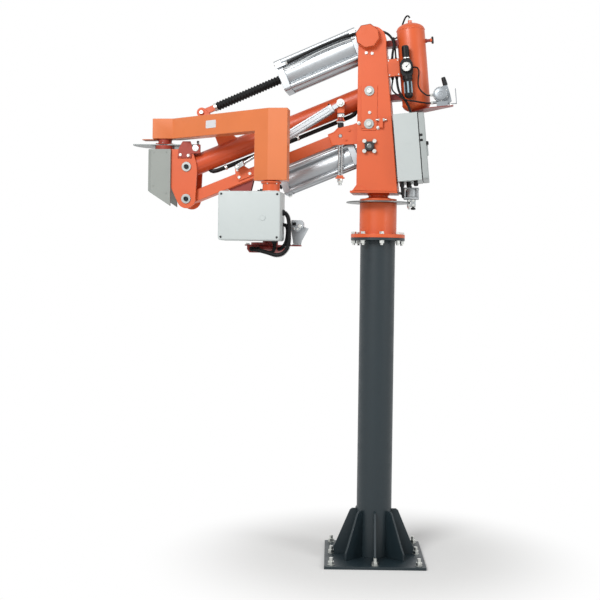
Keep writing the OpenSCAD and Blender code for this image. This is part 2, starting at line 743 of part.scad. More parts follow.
module lock_plate() color(ORANGE) at_bar(tie_pivot, arm_drop) {
    w = tie_w / 2;
    flat(w, w + 8) polygon([
        [lock_s - 60, -14], [lock_s + 30, -14], [lock_s + 34, 20],
        [lock_s + 18, lock_h + 18], [lock_s - 16, lock_h + 20], [lock_s - 60, 16]
    ]);
    translate([lock_s, 0, lock_h]) cross(9, w + 8, lock_y - 13);
}

link_y = -84;
link_t = 14;

// Upright link: an eye on the side pin, a clamping cone and a stop collar, on two slim rods
module steady_link() color(ORANGE) in_arm_plane() translate([side_pin.x, 0, side_pin.y]) {
    y0 = link_y - link_t / 2;
    y1 = link_y + link_t / 2;
    difference() {
        flat(y0, y1) {
            circle(r = 19);
            translate([-19, -52]) square([38, 52]);
            polygon([
                [-14, -76], [14, -76], [19, -92], [24, -92], [24, -98], [-24, -98], [-24, -92], [-19, -92]
            ]);
        }
        cross(10 + fit, y0 - 1, y1 + 1);
        block([-6, 6], [y0 - 1, y1 + 1], [-99, -60]);
    }
    flat(y0, y1) {
        translate([-25, -414]) square([50, 8]);
        translate([-18, -406]) square([36, 10]);
    }
}

module link_rods() color(STEEL) in_arm_plane() translate([side_pin.x, link_y, side_pin.y]) {
    block([-18, 18], [-6.5, 6.5], [-76, -56]);
    block([-5, 5], [-6, 6], [-96, -60]);
    block([-13, 13], [-6.5, 6.5], [-link_gap - 8, -98]);
    for (x = [-8, 8]) translate([x, 0, -396]) cylinder(r = 5, h = 400 - link_gap);
    block([-15, 15], [-6.5, 6.5], [-434, -414]);
    block([-10, 10], [-6, 6], [-450, -434]);
    translate([0, 0, -link_gap]) cross(9, -tower_gap / 2 - link_y + 1, -6);
}

// ---- Head ----

module head_profile() {
    polygon([
        [head_top.x - 88, head_top.y + 98], [head_top.x - 88, head_top.y - 118],
        [head_low.x - 47, head_low.y - 24], [head_low.x, head_low.y - 53],
        [head_low.x + 53, head_low.y], [head_top.x + 60, head_top.y - 20],
        [head_top.x + 56, head_top.y + 20], [head_top.x + 30, head_top.y + 98]
    ]);
    translate(head_low) circle(r = 53, $fn = 72);
}

module head_plates() color(ORANGE) in_arm_plane() {
    for (m = [0, 1]) mirror([0, m, 0]) difference() {
        flat(head_gap / 2, head_y) head_profile();
        for (p = [head_top, head_low]) translate([p.x, 0, p.y])
            cross(pin_r + fit, 0, 2 * head_y);
    }
    block([head_top.x - 88, head_top.x - 78], [-head_gap / 2, head_gap / 2],
        [head_top.y - 118, head_top.y + 98]);
}

module head_pins() color(ZINC) in_arm_plane() {
    for (p = [head_top, head_low]) translate([p.x, 0, p.y]) {
        cross(pin_r, -head_y, head_y);
        cross(27, -head_y - 6, -head_y);
        cross(27, head_y, head_y + 6);
    }
}

module cover_outline(o) {
    x0 = elbow.x - 85 + o;
    x1 = head_top.x - 88;
    y0 = -elbow_side - 60 + o;
    y1 = head_y + 8 - o;
    polygon([
        [x1, y0], [x0 + 22, y0], [x0, y0 + 22], [x0, y1 - 22], [x0 + 22, y1], [x1, y1]
    ]);
}

module head_cover() color(GREY) in_arm_plane() difference() {
    z0 = head_top.y - 230;
    z1 = head_top.y + 97;
    translate([0, 0, z0]) linear_extrude(z1 - z0) cover_outline(0);
    translate([0, 0, z0 - 1]) linear_extrude(z1 - z0 + 2) difference() {
        cover_outline(3);
        translate([head_top.x - 92, -200]) square([20, 400]);
    }
    flat(-200, 200) polygon([
        [elbow.x - 100, z0 - 10], [elbow.x - 100, head_top.y - 128],
        [elbow.x - 85, head_top.y - 136], [head_top.x - 80, head_top.y - 226],
        [head_top.x, z0 - 10]
    ]);
    block([head_top.x - 100, head_top.x], [-head_y, head_y], [z0 - 5, z1 + 5]);
}

module elbow_housing() color(DEEP_RED) in_arm_plane() difference() {
    union() {
        translate([elbow.x, elbow.y, head_top.y - 115])
            cylinder(r = elbow_housing_r, h = elbow_disc_z - head_top.y + 115, $fn = 64);
        block([elbow.x, head_top.x - 88], [-head_gap / 2, head_gap / 2 - 40],
            [head_top.y - 100, head_top.y + 90]);
    }
    translate([elbow.x, elbow.y, head_top.y - 105])
        cylinder(r = elbow_r + fit, h = 400, $fn = 64);
    block([head_top.x - 88, head_top.x], [-head_y, head_y], [head_top.y - 120, head_top.y + 130]);
}

module elbow_disc() color(STEEL) in_arm_plane() difference() {
    translate([elbow.x, elbow.y, elbow_disc_z]) cylinder(d = elbow_disc_d, h = disc_t, $fn = 120);
    translate([elbow.x, elbow.y, elbow_disc_z - 1])
        cylinder(r = elbow_r + 1, h = disc_t + 2, $fn = 64);
    block([elbow.x - 300, elbow.x + 300], [elbow.y - 300, -head_y + 0.5],
        [elbow_disc_z - 1, elbow_disc_z + disc_t + 1]);
}

module head_top_plate() color(DEEP_RED) in_arm_plane() {
    flat(-head_y - 7, -head_y) polygon([
        [head_top.x - 50, head_top.y + 48], [head_top.x + 28, head_top.y + 48],
        [head_top.x + 34, head_top.y + 110], [head_top.x + 22, head_top.y + 142],
        [head_top.x - 22, head_top.y + 142], [head_top.x - 44, head_top.y + 106]
    ]);
    block([head_top.x + 44, head_top.x + 78], [-head_y - 7, -head_y + 8],
        [head_top.y + 74, head_top.y + 124]);
    block([head_top.x + 20, head_top.x + 44], [-head_y - 7, -head_y],
        [head_top.y + 74, head_top.y + 110]);
}

// ---- Cylinders ----

// A square with rounded corners, as an outline across a cylinder
module end_plate(sq, r, x0, x1) translate([x0, 0, 0]) rotate([90, 0, 90]) linear_extrude(x1 - x0) {
    square([sq, sq - 2 * r], center = true);
    square([sq - 2 * r, sq], center = true);
    for (y = [-1, 1], z = [-1, 1]) translate([y * (sq / 2 - r), z * (sq / 2 - r)]) circle(r = r);
}

// Extruded barrel with a channel for a tie bolt in each corner, between two end covers
module air_cylinder(sq, x0, x1, cover, port) {
    corner = sq * 0.09;
    off = sq / 2 - corner - 1;
    translate([x0 + cover, 0, 0]) rotate([90, 0, 90]) linear_extrude(x1 - x0 - 2 * cover) {
        circle(r = sq * 0.47, $fn = 96);
        for (y = [-1, 1], z = [-1, 1]) {
            translate([y * off, z * off]) circle(r = corner, $fn = 32);
            rotate(45 * y * z) translate([z * off * sqrt(2) / 2, 0])
                square([off * sqrt(2), corner], center = true);
        }
    }
    for (x = [x0, x1 - cover]) end_plate(sq, corner, x, x + cover);
    along(sq * 0.2, x1, x1 + 6);
    for (x = [x1 - cover / 2, x0 + cover / 2])
        translate([x, 0, port > 0 ? sq / 2 - 1 : -sq / 2 - 9]) cylinder(r = 11, h = 10);
}

rod_in = 150;
hose_fitting = 62;

module upper_cylinder() color(ALU) at_bar(up_pivot, up_drop) difference() {
    union() {
        air_cylinder(up_sq, 50, barrel_len, 40, 1);
        cross(32, -45, 45);
        block([0, 50], [-45, 45], [-30, 30]);
        block([barrel_len - hose_fitting, barrel_len - 8], [up_sq / 2 - 1, up_sq / 2 + 17], [41, 58]);
    }
    cross(pin_r + fit, -60, 60);
    along(up_rod_r + fit, 100, barrel_len + 7);
}

module upper_rod() color(ZINC) at_bar(up_pivot, up_drop) {
    along(up_rod_r, barrel_len - rod_in, up_len - 76);
    along(24, up_len - 92, up_len - 76);
    block([up_len - 76, up_len - 10], [-9, 9], [-16, 16]);
    translate([up_len, 0, 0]) cross(22, -9, 9);
}

module bellows(x0, x1, r_in, r_out, folds) {
    step = (x1 - x0) / folds;
    rotate([0, 90, 0]) rotate_extrude($fn = 32) polygon(concat(
        [[r_in - 4, x0]],
        [for (i = [0 : folds - 1]) each [
            [r_in, x0 + i * step], [r_out, x0 + (i + 0.5) * step]]],
        [[r_in, x1], [r_in - 4, x1]]
    ));
}

module upper_bellows() color(BLACK) at_bar(up_pivot, up_drop)
    bellows(barrel_len + 7, up_len - 93, up_rod_r + 5, up_rod_r + 10, 22);

module lower_cylinder() color(ALU) at_bar(low_pivot, low_drop) difference() {
    union() {
        air_cylinder(low_sq, 80, barrel_len, 37, -1);
        cross(32, -40, 40);
        block([0, 80], [-40, 40], [-28, 28]);
    }
    cross(pin_r + fit, -60, 60);
    along(low_rod_r + fit, 130, barrel_len + 7);
}

module lower_rod() color(ZINC) at_bar(low_pivot, low_drop) {
    along(low_rod_r, barrel_len - rod_in, low_len - 70);
    along(21, low_len - 84, low_len - 70);
    block([low_len - 70, low_len - 10], [-9, 9], [-14, 14]);
    translate([low_len, 0, 0]) cross(21, -9, 9);
}

module lower_bellows() color(BLACK) at_bar(low_pivot, low_drop)
    bellows(barrel_len + 7, low_len - 85, low_rod_r + 5, low_rod_r + 10, 9);

lock_barrel_end = lock_len - 190;
lock_rod_r = 9;

module lock_cylinder() color(ALU) at_bar(side_pin, lock_drop) {
    h = lock_sq / 2;
    y = lock_y + 11;
    difference() {
        union() {
            for (e = [[52, 70], [lock_barrel_end - 22, lock_barrel_end]])
                translate([0, y, 0]) end_plate(lock_sq, 5, e[0], e[1]);
            difference() {
                translate([0, y, 0]) block([68, lock_barrel_end - 20], [-h + 1, h - 1], [-h + 1, h - 1]);
                for (a = [0 : 90 : 270], k = [-1, 1]) translate([0, y, 0]) rotate([a, 0, 0])
                    block([70, lock_barrel_end - 22], [k * 10 - 2.5, k * 10 + 2.5], [h - 4, h + 1]);
            }
            block([0, 52], [y - 3, y + 9], [-12, 12]);
            cross(16, y - 3, y + 9);
        }
        cross(10 + fit, lock_y, lock_y + 40);
        translate([0, y, 0]) along(lock_rod_r + fit, 90, lock_barrel_end + 1);
    }
}

module lock_rod() color(ZINC) at_bar(side_pin, lock_drop) {
    translate([0, lock_y + 11, 0]) along(lock_rod_r, lock_barrel_end - 80, lock_len - 30);
    block([lock_len - 40, lock_len - 6], [lock_y - 5, lock_y + 20], [-13, 13]);
    translate([lock_len, 0, 0]) cross(14, lock_y - 5, lock_y + 20);
}

// Air hose along the camera side of the upper cylinder, from its front cover back to the pivot
module upper_hose() color(BLACK) at_bar(up_pivot, up_drop) {
    y = up_sq / 2 + 8.5;
    sweep([
        [barrel_len - hose_fitting, y, 49.5], [barrel_len - 90, y, 49.5],
        [barrel_len - 175, y, 57], [barrel_len - 260, y, 60], [200, y, 60], [140, y, 57],
        [95, y, 53], [70, y, 50], [47, y, 48], [35, y - 8, 46], [25, y - 17, 44], [14, y - 25, 41],
        [2, y - 29, 39]
    ], 8);
}

// ---- Forearm ----

bend_angle = atan2(wrist_side, wrist_along - hub_reach);
post_before = 84;
post_after = 88;

module beam_plan(t = 0) {
    h = beam_w / 2 - t;
    k = h * tan(bend_angle / 2);
    bx = hub_reach;
    polygon([
        [-62 + t, -h], [bx - k, -h],
        [wrist_along - k, -wrist_side - h], [wrist_along + post_after - t, -wrist_side - h],
        [wrist_along + post_after - t, -wrist_side + h], [wrist_along + k, -wrist_side + h],
        [bx + k, h], [-62 + t, h]
    ]);
}

module post_plan() {
    s = post_before / cos(bend_angle);
    intersection() {
        beam_plan();
        translate([wrist_along, -wrist_side]) union() {
            translate([-2, -beam_w]) square([beam_w * 2, beam_w * 2]);
            rotate(-bend_angle) translate([-post_before, -beam_w]) square([post_before + 40, beam_w * 2]);
        }
    }
}

module forearm_beam() color(ORANGE) in_arm_plane() translate([elbow.x, elbow.y, 0]) {
    difference() {
        union() {
            translate([0, 0, beam_z]) linear_extrude(beam_h) beam_plan();
            translate([0, 0, post_low]) linear_extrude(post_h) post_plan();
        }
        translate([0, 0, beam_z + beam_wall]) linear_extrude(beam_h - 2 * beam_wall) intersection() {
            beam_plan(beam_wall);
            translate([60, -600]) square([wrist_along - 170, 700]);
        }
        translate([wrist_along, -wrist_side, post_low - 1]) cylinder(r = 25 + fit, h = 91);
    }
    block([-128, -40], [-20, 40], [beam_z - 6, beam_z]);
}

module elbow_shaft() color(DEEP_RED) in_arm_plane() translate([elbow.x, elbow.y, 0]) {
    translate([0, 0, head_top.y - 100])
        cylinder(r = elbow_r, h = beam_z - head_top.y + 100, $fn = 64);
}

// ---- Wrist and tool ----

module at_wrist() in_arm_plane() translate([wrist.x, wrist.y, 0]) children();

module wrist_swivel() color(ORANGE) at_wrist() {
    translate([0, 0, wrist_low]) cylinder(r = wrist_r, h = wrist_h, $fn = 64);
    translate([0, 0, wrist_top - 9]) cylinder(r = wrist_r + 8, h = 9, $fn = 64);
    translate([0, 0, wrist_top]) cylinder(r = 25, h = 85);
    block([-70, 70], [-wrist_r - 8, -wrist_r + 12], [wrist_low + 30, wrist_top - 60]);
}

box_x0 = -237;
box_y1 = -wrist_r - 8;
box_top = wrist_top - 62;

module control_box() color(GREY) at_wrist() difference() {
    block([box_x0, box_x0 + box_w], [box_y1 - box_d, box_y1], [box_top - box_h, box_top]);
    block([box_x0 + 4, box_x0 + box_w - 4], [box_y1 - box_d + 4, box_y1 - 4],
        [box_top - box_h + 4, box_top - 4]);
}

module control_box_lid() color(GREY) at_wrist()
    block([box_x0, box_x0 + box_w], [box_y1 - box_d - lid_d, box_y1 - box_d],
        [box_top - box_h, box_top]);

tool_top = box_top - box_h - 6;
tool_low = wrist_low - 80;

flange_top = tool_top - 12;
barb_x = [-84, -50];
barb_y = -76;
barb_up = 18;

// Flange for the load, with a puck, a long thin plate and an open tray above its left side
module tool_plate() color(DEEP_RED) at_wrist() {
    for (x = barb_x) translate([x, 0, tool_low + barb_up]) cross(8, barb_y, -15);
    tool_flange();
}

module tool_flange() difference() {
    union() {
        translate([0, 0, flange_top - 4]) cylinder(r = wrist_r - 5, h = wrist_low - flange_top + 4);
        translate([-45, 0, flange_top - 1]) cylinder(r = 56, h = 13, $fn = 64);
        translate([0, 0, flange_top - 6]) linear_extrude(6)
            polygon([
                [-128, -40], [40, -40], [60, -22], [162, -22], [162, 22], [60, 22], [40, 40], [-128, 40]
            ]);
        flat(-46, 46) polygon([
            [-115, flange_top - 5], [-115, flange_top - 24], [-103, tool_low],
            [0, tool_low], [0, flange_top - 5]
        ]);
        rotate_extrude($fn = 64) polygon([
            [0, tool_low], [54, tool_low], [83, tool_low + 18], [83, tool_low + 26],
            [60, flange_top - 5], [0, flange_top - 5]
        ]);
    }
    block([-98, -34], [-60, -20], [tool_low + 6, flange_top - 11]);
    for (a = [45 : 90 : 315]) rotate([0, 0, a]) translate([42, 0, tool_low - 1])
        cylinder(r = 5, h = 21);
}

// Upright bracket on the thin plate, with a small valve in front of it
module tool_valve() color(STEEL) at_wrist() {
    flat(-4, 4) polygon([
        [105, flange_top + 95], [121, flange_top + 6], [121, flange_top], [160, flange_top],
        [166, flange_top + 24], [200, flange_top + 88], [176, flange_top + 95]
    ]);
    block([118, 160], [-18, 18], [flange_top, flange_top + 5]);
    flat(-34, -4) polygon([
        [112, flange_top + 95], [134, flange_top + 69], [150, flange_top + 69], [178, flange_top + 95],
        [177, flange_top + 116], [166, flange_top + 129], [114, flange_top + 129]
    ]);
}

// Two corrugated hoses from the control box down to the barbs on the tray
module tool_hoses() color(BLACK) at_wrist() {
    side = box_x0 + box_w;
    low = box_top - box_h;
    end_z = tool_low + barb_up;
    sweep([
        [side, -118, box_top - 105], [side + 12, -118, box_top - 105], [side + 26, -118, box_top - 122],
        [side + 33, -117, box_top - 152], [side + 34, -116, box_top - 200],
        [side + 34, -116, low - 3], [side + 25, -116, low - 41], [side, -116, low - 67],
        [side - 34, -116, low - 73], [side - 68, -116, low - 62], [side - 101, -118, low - 53],
        [side - 133, -116, low - 46], [side - 155, -106, low - 42], [barb_x[0], -92, end_z],
        [barb_x[0], barb_y, end_z]
    ], 10.5, 12);
    sweep([
        [36, -86, low], [36, -86, low - 14], [36, -88, low - 40], [28, -90, low - 56], [8, -92, low - 60],
        [-16, -94, low - 54], [-36, -94, low - 46], [-48, -89, low - 42], [barb_x[1], -83, end_z],
        [barb_x[1], barb_y, end_z]
    ], 9, 12);
}

base_plate();
column_tube();
column_gussets();
column_flange();
slew_housing();
slew_disc();
slew_hub();
tower_front_plate();
tower_back_plate();
tower_spine();
tower_pins();
pivot_caps();
pivot_bearings();
slew_brake();
junction_box();
air_tank();
tank_brackets();
air_regulator();
hand_valve();
tower_hoses();
cabinet_body();
cabinet_door();
arm_tube();
arm_bracket();
arm_conduit();
arm_side_pin();
tie_bar();
tie_bracket();
lock_plate();
steady_link();
link_rods();
head_plates();
head_pins();
head_cover();
elbow_housing();
elbow_disc();
head_top_plate();
upper_cylinder();
upper_rod();
upper_bellows();
upper_hose();
lower_cylinder();
lower_rod();
lower_bellows();
lock_cylinder();
lock_rod();
forearm_beam();
elbow_shaft();
wrist_swivel();
control_box();
control_box_lid();
tool_plate();
tool_valve();
tool_hoses();
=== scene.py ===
"""Column-mounted pneumatic manipulator arm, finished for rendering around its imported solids."""
import json
import math

import bmesh
import bpy
from mathutils import Matrix, Vector


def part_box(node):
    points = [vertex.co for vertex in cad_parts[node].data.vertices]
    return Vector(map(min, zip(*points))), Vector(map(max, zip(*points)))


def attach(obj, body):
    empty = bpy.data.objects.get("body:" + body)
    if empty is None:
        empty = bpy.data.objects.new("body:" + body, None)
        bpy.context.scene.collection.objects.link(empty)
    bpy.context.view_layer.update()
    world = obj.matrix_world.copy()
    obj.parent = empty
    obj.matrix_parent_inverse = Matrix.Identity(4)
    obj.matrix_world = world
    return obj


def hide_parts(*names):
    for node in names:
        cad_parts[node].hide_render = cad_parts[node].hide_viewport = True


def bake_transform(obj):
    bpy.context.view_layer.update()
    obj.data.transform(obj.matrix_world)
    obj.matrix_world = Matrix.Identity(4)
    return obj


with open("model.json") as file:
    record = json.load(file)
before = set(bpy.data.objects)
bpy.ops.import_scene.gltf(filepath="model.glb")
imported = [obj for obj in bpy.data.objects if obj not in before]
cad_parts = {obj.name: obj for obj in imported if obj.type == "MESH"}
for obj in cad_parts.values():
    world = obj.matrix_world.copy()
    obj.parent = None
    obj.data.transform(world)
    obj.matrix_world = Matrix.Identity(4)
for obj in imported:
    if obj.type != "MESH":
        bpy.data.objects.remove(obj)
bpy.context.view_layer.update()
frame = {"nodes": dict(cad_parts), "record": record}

# ---------------------------------------------------------------- Camera
# A camera at standing eye height, about six metres in front of the column, held level but
# for a roll of under a degree. Its view is shifted to the left and down, so that the
# lens's axis meets the frame to the right of its middle and above it.
SENSOR_MM = 36
LENS_MM = 63.6
SHIFT_X, SHIFT_Y = -0.0555, -0.0593333
CAMERA_PLACE = (-0.2456, -5.9, 1.62)
CAMERA_ROLL = 0.0142


def linked(name, data):
    """A new object of some data, in the scene."""
    made = bpy.data.objects.new(name, data)
    bpy.context.scene.collection.objects.link(made)
    return made


camera_data = bpy.data.cameras.new("camera")
camera_data.sensor_width = SENSOR_MM
camera_data.lens = LENS_MM
camera_data.shift_x = SHIFT_X
camera_data.shift_y = SHIFT_Y
camera_data.clip_end = 60
camera = linked("camera", camera_data)
camera.location = CAMERA_PLACE
camera.rotation_euler = (math.pi / 2, -CAMERA_ROLL, 0)
bpy.context.scene.camera = camera

# ---------------------------------------------------------------- Light and floor
# An even white studio: a pale sky all round, one broad lamp high on the left
# and a weaker one on the right, over a pale floor that fades into the background.
bpy.context.scene.view_settings.view_transform = "Standard"


def linear(code):
    """Linear colour of an sRGB hex code."""
    parts = [int(code[i:i + 2], 16) / 255 for i in (1, 3, 5)]
    return tuple(
        c / 12.92 if c <= 0.04045 else ((c + 0.055) / 1.055) ** 2.4 for c in parts
    ) + (1.0,)


def add(tree, kind, inputs=None, **settings):
    """Add a node with its settings, and set or link its inputs."""
    made = tree.nodes.new(kind)
    for name, value in settings.items():
        setattr(made, name, value)
    for name, value in (inputs or {}).items():
        socket = made.inputs[name]
        if isinstance(value, bpy.types.NodeSocket):
            tree.links.new(value, socket)
        else:
            socket.default_value = value
    return made


def shown_white(tree):
    """1 where the background itself is seen, straight or in a reflection."""
    path = add(tree, "ShaderNodeLightPath")
    first = add(tree, "ShaderNodeMath", {0: path.outputs["Is Camera Ray"],
                1: path.outputs["Is Glossy Ray"]}, operation="MAXIMUM")
    return add(tree, "ShaderNodeMath", {0: first.outputs[0],
               1: path.outputs["Is Transmission Ray"]}, operation="MAXIMUM").outputs[0]


SKY_LEVEL = 0.42
world = bpy.data.worlds.new("studio")
world.use_nodes = True
bpy.context.scene.world = world
sky = world.node_tree
sky.nodes.clear()
lit = add(sky, "ShaderNodeBackground", {"Color": linear("#FFFFFF"), "Strength": SKY_LEVEL})
seen = add(sky, "ShaderNodeBackground", {"Color": linear("#FFFFFF"), "Strength": 1.0})
both = add(sky, "ShaderNodeMixShader", {0: shown_white(sky), 1: lit.outputs[0],
           2: seen.outputs[0]})
add(sky, "ShaderNodeOutputWorld", {"Surface": both.outputs[0]})


def lamp(name, place, aim, size, watts):
    """A round soft lamp at a place, turned to face a point."""
    data = bpy.data.lights.new(name, "AREA")
    data.shape = "DISK"
    data.size = size
    data.energy = watts
    made = linked(name, data)
    made.location = place
    made.rotation_euler = (Vector(aim) - Vector(place)).to_track_quat("-Z", "Y").to_euler()


AIM = (-0.3, 0, 1.8)
lamp("key", (-3.0, -5.0, 5.0), AIM, 2.6, 250)
lamp("side", (4.5, -3.0, 3.6), AIM, 2.0, 70)

# The floor's side and the ring over which it fades, in metres from the column
FLOOR_SIDE = 12
FADE_FROM, FADE_TO = 0.45, 1.3
floor_mesh = bpy.data.meshes.new("floor")
half = FLOOR_SIDE / 2
floor_mesh.from_pydata(
    [(-half, -half, 0), (half, -half, 0), (half, half, 0), (-half, half, 0)],
    [], [(0, 1, 2, 3)])
floor = linked("floor", floor_mesh)
# A matt off-white near the foot, where the shadow falls, and pure white farther out
floor_finish = bpy.data.materials.new("pale_studio_floor")
floor_finish.use_nodes = True
tree = floor_finish.node_tree
tree.nodes.clear()
where = add(tree, "ShaderNodeTexCoord")
distance = add(tree, "ShaderNodeVectorMath", {0: where.outputs["Object"]}, operation="LENGTH")
fade = add(tree, "ShaderNodeMapRange", {0: distance.outputs["Value"], 1: FADE_FROM, 2: FADE_TO},
           interpolation_type="SMOOTHSTEP")
white = add(tree, "ShaderNodeEmission", {"Color": linear("#FFFFFF"), "Strength": 1.0})
matt = add(tree, "ShaderNodeBsdfDiffuse", {"Color": linear("#FBFBFA")})
share = add(tree, "ShaderNodeMath", {0: fade.outputs[0], 1: shown_white(tree)},
            operation="MULTIPLY")
mixed = add(tree, "ShaderNodeMixShader", {0: share.outputs[0], 1: matt.outputs[0],
            2: white.outputs[0]})
add(tree, "ShaderNodeOutputMaterial", {"Surface": mixed.outputs[0]})
floor_mesh.materials.append(floor_finish)

# ---------------------------------------------------------------- Column
# A square steel foot plate, a standard pipe with eight slanted gusset plates and a
# bolted flange, welded together and sprayed a dark blue-grey enamel.

# Points nearer than this, in metres, are taken as one
MERGE = 1e-6
# Angles in degrees: a fold sharper than CREASE is shaded sharp, and one sharper than
# BREAK_FROM has its edge broken
CREASE, BREAK_FROM = 28, 32
BODY_OF = {node: body for body, nodes in frame["record"]["behaviour"]["bodies"].items()
           for node in nodes}


def principled(name):
    """A new material, its tree, its shader and its Object coordinates."""
    made = bpy.data.materials.new(name)
    made.use_nodes = True
    tree = made.node_tree
    spot = add(tree, "ShaderNodeTexCoord").outputs["Object"]
    return made, tree, tree.nodes["Principled BSDF"], spot


def shaded(colour, factor):
    """A colour made lighter or darker by a factor."""
    return tuple(min(1.0, c * factor) for c in colour[:3]) + (1.0,)


# Cells of noise in a metre: the paint film's drift, handling marks and orange peel
FILM_CELLS, DUST_CELLS, PEEL_CELLS = 6.0, 19.0, 240.0
BUMP_DEEP = 0.0004


def enamel(name, code, rough=0.34, clear=0.2, drift=0.05, peel=0.2, grime=0.12):
    """Sprayed enamel: an uneven film, a faint orange-peel skin of about 4 mm, dull patches
    where it was handled, and a thin clear gloss. Real peel is finer than 4 mm; this is as
    fine as still shows."""
    made, tree, shader, spot = principled(name)
    cloud = add(tree, "ShaderNodeTexNoise", {"Vector": spot, "Scale": FILM_CELLS, "Detail": 4.0})
    base = linear(code)
    film = add(tree, "ShaderNodeMix", {"Factor": cloud.outputs["Fac"],
               6: shaded(base, 1 - drift * 1.6), 7: shaded(base, 1 + drift)}, data_type="RGBA")
    dust = add(tree, "ShaderNodeTexNoise", {"Vector": spot, "Scale": DUST_CELLS, "Detail": 7.0,
               "Roughness": 0.72})
    dirty = add(tree, "ShaderNodeMapRange", {0: dust.outputs["Fac"], 1: 0.55, 2: 0.78,
                3: 0.0, 4: grime})
    worn = add(tree, "ShaderNodeMix", {"Factor": dirty.outputs[0], 6: film.outputs[2],
               7: shaded(base, 0.55)}, data_type="RGBA")
    tree.links.new(worn.outputs[2], shader.inputs["Base Color"])
    gloss = add(tree, "ShaderNodeMapRange", {0: dust.outputs["Fac"], 1: 0.3, 2: 0.7,
                3: rough - 0.05, 4: rough + 0.12})
    tree.links.new(gloss.outputs[0], shader.inputs["Roughness"])
    skin = add(tree, "ShaderNodeTexNoise", {"Vector": spot, "Scale": PEEL_CELLS, "Detail": 2.0})
    bump = add(tree, "ShaderNodeBump", {"Height": skin.outputs["Fac"], "Strength": peel,
               "Distance": BUMP_DEEP})
    tree.links.new(bump.outputs[0], shader.inputs["Normal"])
    shader.inputs["Coat Weight"].default_value = clear
    shader.inputs["Coat Roughness"].default_value = 0.15
    return made


def merged(node, flat):
    """A CAD node's solid as a bmesh, with points merged and faces joined where flat."""
    shape = bmesh.new()
    shape.from_mesh(frame["nodes"][node].data)
    bmesh.ops.remove_doubles(shape, verts=shape.verts, dist=MERGE)
    bmesh.ops.dissolve_limit(shape, angle_limit=math.radians(flat), verts=shape.verts,
                             edges=shape.edges)
    return shape


def formed(name, shape):
    """An object in the scene made of a bmesh, which is let go."""
    mesh = bpy.data.meshes.new(name)
    shape.to_mesh(mesh)
    shape.free()
    return linked(name, mesh)


def broken(made, edge, steps=2):
    """Break a piece's sharp edges; its flat faces keep their own normals."""
    if not edge:
        return made
    for face in made.data.polygons:
        face.use_smooth = True
    made.data.set_sharp_from_angle(angle=math.radians(CREASE))
    bevel = made.modifiers.new("broken_edges", "BEVEL")
    bevel.width = edge
    bevel.segments = steps
    bevel.limit_method = "ANGLE"
    bevel.angle_limit = math.radians(BREAK_FROM)
    bevel.use_clamp_overlap = False
    bevel.harden_normals = True
    baked(made)
    return made


def baked(made):
    """Turn an object's modifiers into its plain mesh."""
    made.data = bpy.data.meshes.new_from_object(
        made.evaluated_get(bpy.context.evaluated_depsgraph_get()))
    made.modifiers.clear()
    made.data.name = made.name


def finished(made, finish, body, crease=CREASE):
    """Shade a piece smooth between its creases, paint it and let it ride on its body."""
    if not made.data.has_custom_normals:
        for face in made.data.polygons:
            face.use_smooth = True
        made.data.set_sharp_from_angle(angle=math.radians(crease))
    made.data.materials.clear()
    made.data.materials.append(finish)
    if body:
        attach(made, body)
    return made


def dress(node, finish, edge=0.0012, steps=2):
    """Give a CAD node its finish, on a copy with broken edges that stands for it."""
    skin = broken(formed(node + "_skin", merged(node, flat=0.5)), edge, steps)
    made = finished(skin, finish, BODY_OF[node])
    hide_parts(node)
    return made


# Slate enamel: a cold near-black whose broad soft sheen shows the pipe's roundness
slate_enamel = enamel("slate_enamel", "#1C2A30", rough=0.42, clear=0.04, drift=0.10)
for node in ("base_plate", "column_tube", "column_gussets", "column_flange"):
    dress(node, slate_enamel)

# ---------------------------------------------------------------- Floor anchors
# Threaded M20 studs set in the floor, each with a zinc-plated washer and a hexagon nut
# tightened on the foot plate: one in each corner and one midway along each side.
SCREW_PARTS = ("Head Radius", "Head Height", "Washer Radius", "Washer Height",
               "Stud Radius", "Stud Length")
STUD_ROW = frame["record"]["mounts"][1]["dims"]["spacing_x_mm"] / 2000


def metal(name, code, rough=0.35, drift=0.06, grain=(1, 1, 1), scale=60.0, bumpy=0.08,
          metallic=1.0, sheen=0.5):
    """Bare, plated or anodised metal: tone and roughness vary along its working direction.
    The scale is in grains per metre, far coarser than the real grit, so that it shows."""
    made, tree, shader, spot = principled(name)
    along = add(tree, "ShaderNodeMapping", {"Vector": spot, "Scale": grain}).outputs[0]
    cloud = add(tree, "ShaderNodeTexNoise", {"Vector": along, "Scale": scale, "Detail": 5.0,
                "Roughness": 0.65})
    base = linear(code)
    tone = add(tree, "ShaderNodeMix", {"Factor": cloud.outputs["Fac"],
               6: shaded(base, 1 - drift * 2), 7: base}, data_type="RGBA")
    tree.links.new(tone.outputs[2], shader.inputs["Base Color"])
    rub = add(tree, "ShaderNodeMapRange", {0: cloud.outputs["Fac"], 1: 0.3, 2: 0.7,
              3: max(0.03, rough - 0.07), 4: rough + 0.07})
    tree.links.new(rub.outputs[0], shader.inputs["Roughness"])
    bump = add(tree, "ShaderNodeBump", {"Height": cloud.outputs["Fac"], "Strength": bumpy,
               "Distance": BUMP_DEEP})
    tree.links.new(bump.outputs[0], shader.inputs["Normal"])
    shader.inputs["Metallic"].default_value = metallic
    shader.inputs["Specular IOR Level"].default_value = sheen
    return made


def screw(head, washer, stud):
    """A screw's sizes: radius and height of its head, its washer, and its stud or socket."""
    return dict(zip(SCREW_PARTS, (*head, *washer, *stud)))


